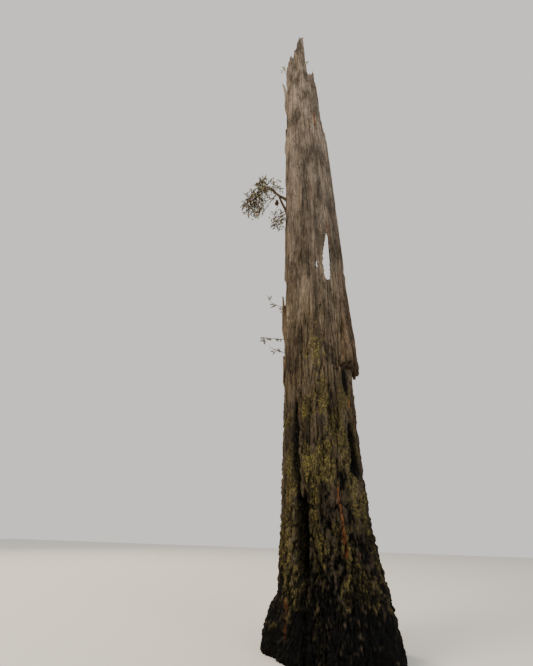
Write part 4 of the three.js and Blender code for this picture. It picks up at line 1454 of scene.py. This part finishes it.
# Foliage, by the rule of the solids' source. A mass has a stem, twigs along it and sprays along those, and
# fills the egg-shaped space of its centre and reach. Sizes are in metres.
foliage = {
    "foliage_upper": {
        "seed": 101, "from": "bough_upper", "aim": (-0.66, 0.02, 0.56), "length": 1.040, "droop": 0.26,
        "twigs": 17, "twigShare": 0.46, "sprays": 4, "spray": 0.215,
        "centre": (-1.720, -0.110, 15.790), "reach": (0.760, 0.480, 0.720), "branchlets": 44,
        "tints": [("olive", 0.34), ("sunlit", 0.30), ("tan", 0.24), ("deep", 0.12)],
    },
    "foliage_outer": {
        "seed": 202, "from": "bough_outer", "aim": (-0.86, -0.16, 0.12), "length": 1.330, "droop": 1.05,
        "twigs": 25, "twigShare": 0.52, "sprays": 4, "spray": 0.225,
        "centre": (-2.290, -0.400, 14.560), "reach": (0.660, 0.600, 0.860), "branchlets": 60,
    },
    "foliage_hanging": {
        "seed": 303, "root": (192, 14.100), "aim": (-0.42, -0.25, -0.5), "length": 1.150, "droop": 0.42,
        "twigs": 14, "twigShare": 0.3, "sprays": 3, "spray": 0.175,
        "centre": (-1.290, -0.330, 13.560), "reach": (0.380, 0.380, 0.780), "branchlets": 26,
        "tints": [("olive", 0.34), ("deep", 0.22), ("tan", 0.24), ("sunlit", 0.20)],
    },
    "shoot_left_a": {
        "seed": 404, "root": (197, 9.350), "aim": (-1, -0.12, -0.22), "length": 0.720, "droop": -0.6,
        "twigs": 4, "twigShare": 0.3, "sprays": 2, "spray": 0.138, "extras": 12, "apart": 0.055,
        "tints": shadedTints,
    },
    "shoot_left_b": {
        "seed": 505, "root": (199, 8.030), "aim": (-0.98, -0.12, -0.02), "length": 0.860, "droop": -0.08,
        "twigs": 5, "twigShare": 0.2, "sprays": 2, "spray": 0.150, "extras": 12, "apart": 0.055,
        "tints": shadedTints,
    },
    "shoot_left_c": {
        "seed": 606, "root": (203, 7.450), "aim": (-0.86, -0.15, 0.36), "length": 0.560, "droop": 0.05,
        "twigs": 4, "twigShare": 0.24, "sprays": 1, "spray": 0.130, "extras": 12, "apart": 0.055,
        "tints": shadedTints,
    },
    "shoot_rim_left": {
        "seed": 707, "root": (190, 25.350), "aim": (-0.72, -0.3, 0.62), "length": 0.360, "droop": 0.1,
        "twigs": 5, "twigShare": 0.5, "sprays": 2, "spray": 0.130,
    },
    "shoot_rim_right": {
        "seed": 808, "root": (292, 24.700), "aim": (0.55, -0.35, 0.75), "length": 0.250, "droop": 0.1,
        "twigs": 4, "twigShare": 0.45, "sprays": 1, "spray": 0.110,
    },
}
growth = {
    "trunkRoom": 0.025,  # how near growth may come to the trunk and to the middle of a limb
    "limbRoom": 0.075,
    "extraSprays": 4,  # finer sprays on each twig, beyond the solids' own
    "extraEvery": 0.060,  # along a branchlet
    "extraLength": 0.95,  # beside the solids' sprays
    "apart": 0.10,  # between the middles of finer sprays
    "twigThick": (0.0080, 0.0030),  # half thickness at its root and its tip
    "branchletThick": (0.0075, 0.002),
    "branchletReach": 0.92,  # of the way to its free place
    "axisThick": (0.0022, 0.001),
    "twigletThick": (0.0013, 0.0007),
    "twigletEvery": 0.036,
    "twigletReach": 0.36,  # of the spray's length
    "twigletTurn": 46,  # degrees from the spray's axis
    "needles": {"Spacing": 0.0050, "Length": 0.027, "Width": 0.0062, "Lean": 1.0},
    "tints": [("deep", 0.28), ("olive", 0.36), ("tan", 0.30), ("sunlit", 0.06)],
    "shootTints": [("young", 0.6), ("olive", 0.4)],
}
# points, and the half thickness at the first and the last
deadTwigs = [
    ([(-1.375, -0.160, 15.290), (-1.487, -0.250, 14.960), (-1.700, -0.350, 14.460), (-1.940, -0.450, 13.800)],
     0.024, 0.010),
    ([(-1.410, -0.195, 15.170), (-1.560, -0.160, 15.060), (-1.800, -0.110, 14.960), (-2.050, -0.080, 14.700)],
     0.014, 0.007),
]
deadForks = {"thick": (0.0065, 0.0022), "finerThick": (0.0036, 0.0015), "finerReach": 0.55}
clump = {
    "top": (-1.335, -0.165, 15.260),
    "foot": (-1.356, -0.235, 14.530),
    "stalk": (0.009, 0.003),
    # half width of the clump at shares of the way down
    "profile": [(0.5, 0.0), (0.6, 0.062), (0.74, 0.102), (0.88, 0.084), (1.0, 0.026)],
    "leaves": 110,
    "longest": 0.17,
    "needle": 0.016,  # dead ones have curled up
}


# The straight stretches of all limbs, that growth keeps clear of
def limbStretches():
    lines = [shape["points"] for shape in boughs.values()] + [points for points, thick, thin in deadTwigs]
    lines.append([clump["top"], clump["foot"]])
    return [(Vector(a), Vector(b)) for line in lines for a, b in zip(line, line[1:])]


limbLines = limbStretches()


def nearLimb(point):
    for start, end in limbLines:
        line = end - start
        share = min(1, max(0, (point - start).dot(line) / line.length_squared))
        if (start + line * share - point).length < growth["limbRoom"]:
            return True
    return False


# Whether a line of growth stays in its mass's space and passes clear of the trunk and the limbs.
def hasRoom(mass, start, end):
    for share in (0.35, 0.7, 1):
        point = start.lerp(end, share)
        angle, beside = [float(v[0]) for v in aroundAxis(np.array([point]))]
        if beside < float(radiusAt(angle, point.z)) + growth["trunkRoom"] or nearLimb(point):
            return False
        if "centre" in mass:
            away = [(point[i] - mass["centre"][i]) / mass["reach"][i] for i in range(3)]
            if Vector(away).length >= 1:
                return False
    return True


# A place on a line of growth that sags more and more
def sagging(root, aim, length, droop, share):
    return root + aim * length * share + Vector((0, 0, -droop * length * share * share))


def saggingLine(root, aim, length, droop, steps):
    return [sagging(root, aim, length, droop, step / steps) for step in range(steps + 1)]


# The direction that a spray's plane faces: upwards, but turned about the spray's aim by some radians
def sprayFace(aim, twist):
    upwards = -Vector((0, 0, 1)).cross(aim).cross(aim)
    return (Quaternion(aim, twist) @ upwards).normalized()


# Aim turned to one side by some degrees, and tilted up or down.
def sideways(aim, degrees, tilt):
    level = Vector((0, 0, 1)).cross(aim)
    level = level.normalized() if level.length_squared > 1e-4 else Vector((1, 0, 0))
    lift = aim.cross(level).normalized()
    a = math.radians(degrees)
    return (aim * math.cos(a) + level * math.sin(a) + lift * tilt).normalized()


# Where a mass's stem begins: a little way into the trunk, or in its bough's tip
def massRoot(mass):
    if "from" not in mass:
        angle, z = mass["root"]
        return Vector(sidePoint(angle, z, radiusAt(angle, z) - 0.03))
    before, tip = [Vector(p) for p in boughs[mass["from"]]["points"][-2:]]
    return tip - (tip - before).normalized() * 0.01


# A spray: an axis that bends down a little, and twiglets left and right in one plane, with needles on each
def growSpray(made, tint, root, ahead, flat, length, draw):
    across = flat.cross(ahead).normalized()

    def axisPoint(share):
        return root + ahead * length * share - flat * length * 0.10 * share * share
    axis = [axisPoint(share) for share in (0, 0.35, 0.7, 1)]
    made["twigs"].append((axis, *growth["axisThick"]))
    made["sprays"][tint].append((axis[1:] if length > 0.1 else axis, flat))
    count = max(2, int(length / growth["twigletEvery"]))
    for i in range(count):
        share = mix(0.1, 0.93, (i + draw(0.2, 0.8)) / count)
        a = math.radians(growth["twigletTurn"] * draw(0.8, 1.15) * (1 if i % 2 else -1))
        aim = ahead * math.cos(a) + across * math.sin(a) + flat * draw(-0.25, 0.15)
        reach = length * growth["twigletReach"] * (1.05 - 0.7 * share) * draw(0.75, 1.15)
        start = axisPoint(share)
        twiglet = [start + aim * reach * s - flat * reach * 0.15 * s * s for s in (0, 0.5, 1)]
        made["twigs"].append((twiglet, *growth["twigletThick"]))
        made["sprays"][tint].append((twiglet, flat))


# One of the tints, by their shares
def pickTint(tints, draw):
    value = draw()
    for tint, share in tints:
        value -= share
        if value < 0:
            return tint
    return tints[0][0]


# The random draws come in the solids' order, so that both grow the same twigs and sprays. The finer ones that
# only the scene has draw from a stream of their own.
def growMass(mass, tints):
    draw, fine = numberStream(mass["seed"]), numberStream(mass["seed"] + 7000)
    aim, root = Vector(mass["aim"]).normalized(), massRoot(mass)
    made = {"twigs": [], "sprays": {tint: [] for tint, share in tints}, "middles": []}

    def stemAt(share):
        return sagging(root, aim, mass["length"], mass["droop"], share)
    hidden = [] if "from" in mass else [root - aim * 0.09]  # the end in the trunk
    line = hidden + saggingLine(root, aim, mass["length"], mass["droop"], 10)
    made["twigs"].append((line, mass["length"] * 0.012 + 0.006, 0.0035))
    for t in range(mass["twigs"]):
        share = mix(0.14, 0.98, (t + draw(0.1, 0.9)) / mass["twigs"])
        heading = (stemAt(share + 0.02) - stemAt(share - 0.02)).normalized()
        degrees = (1 if t % 2 else -1) * draw(28, 72)
        twigAim = sideways(heading, degrees, draw(-0.65, 0.75))
        twigLength = mass["length"] * mass["twigShare"] * (1.1 - 0.5 * share) * draw(0.7, 1.2)
        start = stemAt(share)
        kept = hasRoom(mass, start, sagging(start, twigAim, twigLength, 0.2, 1))
        if kept:
            line = saggingLine(start, twigAim, twigLength, 0.2, 5)
            made["twigs"].append((line, *growth["twigThick"]))
        for s in range(mass["sprays"] + 1):
            origin = sagging(start, twigAim, twigLength, 0.2, mix(0.3, 1, s / mass["sprays"]) - 0.02)
            sprayDegrees = (1 if s % 2 else -1) * draw(15, 55)
            sprayAim = sideways(twigAim, sprayDegrees, draw(-0.45, 0.35))
            length = mass["spray"] * draw(0.75, 1.2)
            flat = sprayFace(sprayAim, draw(-0.8, 0.8))
            if kept and hasRoom(mass, origin, origin + sprayAim * length):
                made["middles"].append(origin + sprayAim * length / 2)
                growSpray(made, pickTint(tints, fine), origin, sprayAim, flat, length, fine)
        if kept:
            extras = mass.get("extras", growth["extraSprays"])
            growExtras(mass, made, tints, start, twigAim, twigLength, extras, fine)
    for b in range(mass.get("branchlets", 0)):
        growBranchlet(mass, made, tints, stemAt(fine(0.1, 1)), fine)
    return made


# A longer twig from the stem towards a free place in the mass's space, with sprays all along it
def growBranchlet(mass, made, tints, start, fine):
    away = Vector((fine(-1, 1), fine(-1, 1), fine(-1, 1)))
    away = away.normalized() * fine(0.72, 0.97)
    free = Vector([mass["centre"][i] + mass["reach"][i] * away[i] for i in range(3)])
    end = start.lerp(free, growth["branchletReach"])
    if not hasRoom(mass, start, end):
        return
    aim, length = (end - start).normalized(), (end - start).length
    line = saggingLine(start, aim, length, 0.12, 6)
    made["twigs"].append((line, *growth["branchletThick"]))
    growExtras(mass, made, tints, start, aim, length, int(length / growth["extraEvery"]), fine)


# Finer sprays between the solids' own, within the same space
def growExtras(mass, made, tints, start, twigAim, twigLength, count, fine):
    for i in range(count):
        origin = sagging(start, twigAim, twigLength, 0.15, fine(0.04, 1) ** 0.6)
        aim = sideways(twigAim, (1 if i % 2 else -1) * fine(20, 75), fine(-0.7, 0.4))
        length = mass["spray"] * growth["extraLength"] * fine(0.6, 1.15)
        flat = sprayFace(aim, fine(-0.9, 0.9))
        tint = pickTint(tints, fine)
        middle = origin + aim * length / 2
        apart = mass.get("apart", growth["apart"])
        crowded = any((middle - other).length < apart for other in made["middles"])
        if not crowded and hasRoom(mass, origin, origin + aim * length):
            made["middles"].append(middle)
            growSpray(made, tint, origin, aim, flat, length, fine)


def makeFoliage():
    for name, mass in foliage.items():
        young = name.startswith("shoot")
        tints = mass.get("tints", growth["shootTints"] if young else growth["tints"])
        slotName = "shoot_needles" if young else "needles"
        made = growMass(mass, tints)
        title = pieceName(name)
        addTwigs(title + "Twigs", made["twigs"], 5, twigBark, slotName, name)
        for tint, sprays in made["sprays"].items():
            if sprays:
                settings = {**growth["needles"], "Seed": mass["seed"]}
                piece = addNeedles(title + tint.title(), sprays, settings, leafTints[tint], slotName, name)
                print(piece.name, len(sprays), "sprays,", len(piece.data.polygons), "needles")


makeFoliage()


# Dead growth that hangs from the bough. The twigs fork twice, and the clump's leaves stand all round the
# lower half of its stalk.
def makeDeadGrowth():
    draw = numberStream(505050)
    twigs = []
    for points, thick, thin in deadTwigs:
        line, length = smoothLine(points, 26)
        line = [Vector(p) for p in line]
        twigs.append((line, thick, thin))
        for i in range(4, 25, 2):
            ahead = (line[i + 1] - line[i - 1]).normalized()
            aim = sideways(ahead, (1 if i % 4 else -1) * draw(25, 60), draw(-0.6, 0.4))
            reach = length * draw(0.06, 0.2)
            twigs.append((saggingLine(line[i], aim, reach, 0.25, 5), *deadForks["thick"]))
            middle = sagging(line[i], aim, reach, 0.25, 0.5)
            for side in (-1, 1):
                finer = sideways(aim, side * draw(25, 60), draw(-0.4, 0.4))
                fork = saggingLine(middle, finer, reach * deadForks["finerReach"], 0.2, 3)
                twigs.append((fork, *deadForks["finerThick"]))
    addTwigs("deadTwigs", twigs, 6, deadBark, "deadwood", "dead_twigs")
    top, foot = Vector(clump["top"]), Vector(clump["foot"])
    stalk = [top.lerp(foot, s / 8) for s in range(8)]
    made = {"twigs": [(stalk, *clump["stalk"])], "sprays": {"dead": [], "withered": []}}
    for i in range(clump["leaves"]):
        share = draw(0.5, 0.9)
        origin = top.lerp(foot, share)
        a = draw(0, 2 * math.pi)
        aim = Vector((math.cos(a), math.sin(a), draw(-2.4, -0.5))).normalized()
        room = float(np.interp(share + 0.08, *np.transpose(clump["profile"])))
        length = min(max(room * 1.05, 0.03) / max(0.25, math.hypot(aim.x, aim.y)), clump["longest"])
        flat = sprayFace(aim, draw(-1.2, 1.2))
        growSpray(made, "dead" if i % 3 else "withered", origin, aim, flat, length, draw)
    addTwigs("deadClumpTwigs", made["twigs"], 5, deadBark, "dead_leaves", "dead_clump")
    for tint, lines in made["sprays"].items():
        settings = {**growth["needles"], "Length": clump["needle"], "Seed": 9}
        addNeedles("deadClump" + tint.title(), lines, settings, leafTints[tint], "dead_leaves", "dead_clump")
    print("dead growth made")


makeDeadGrowth()
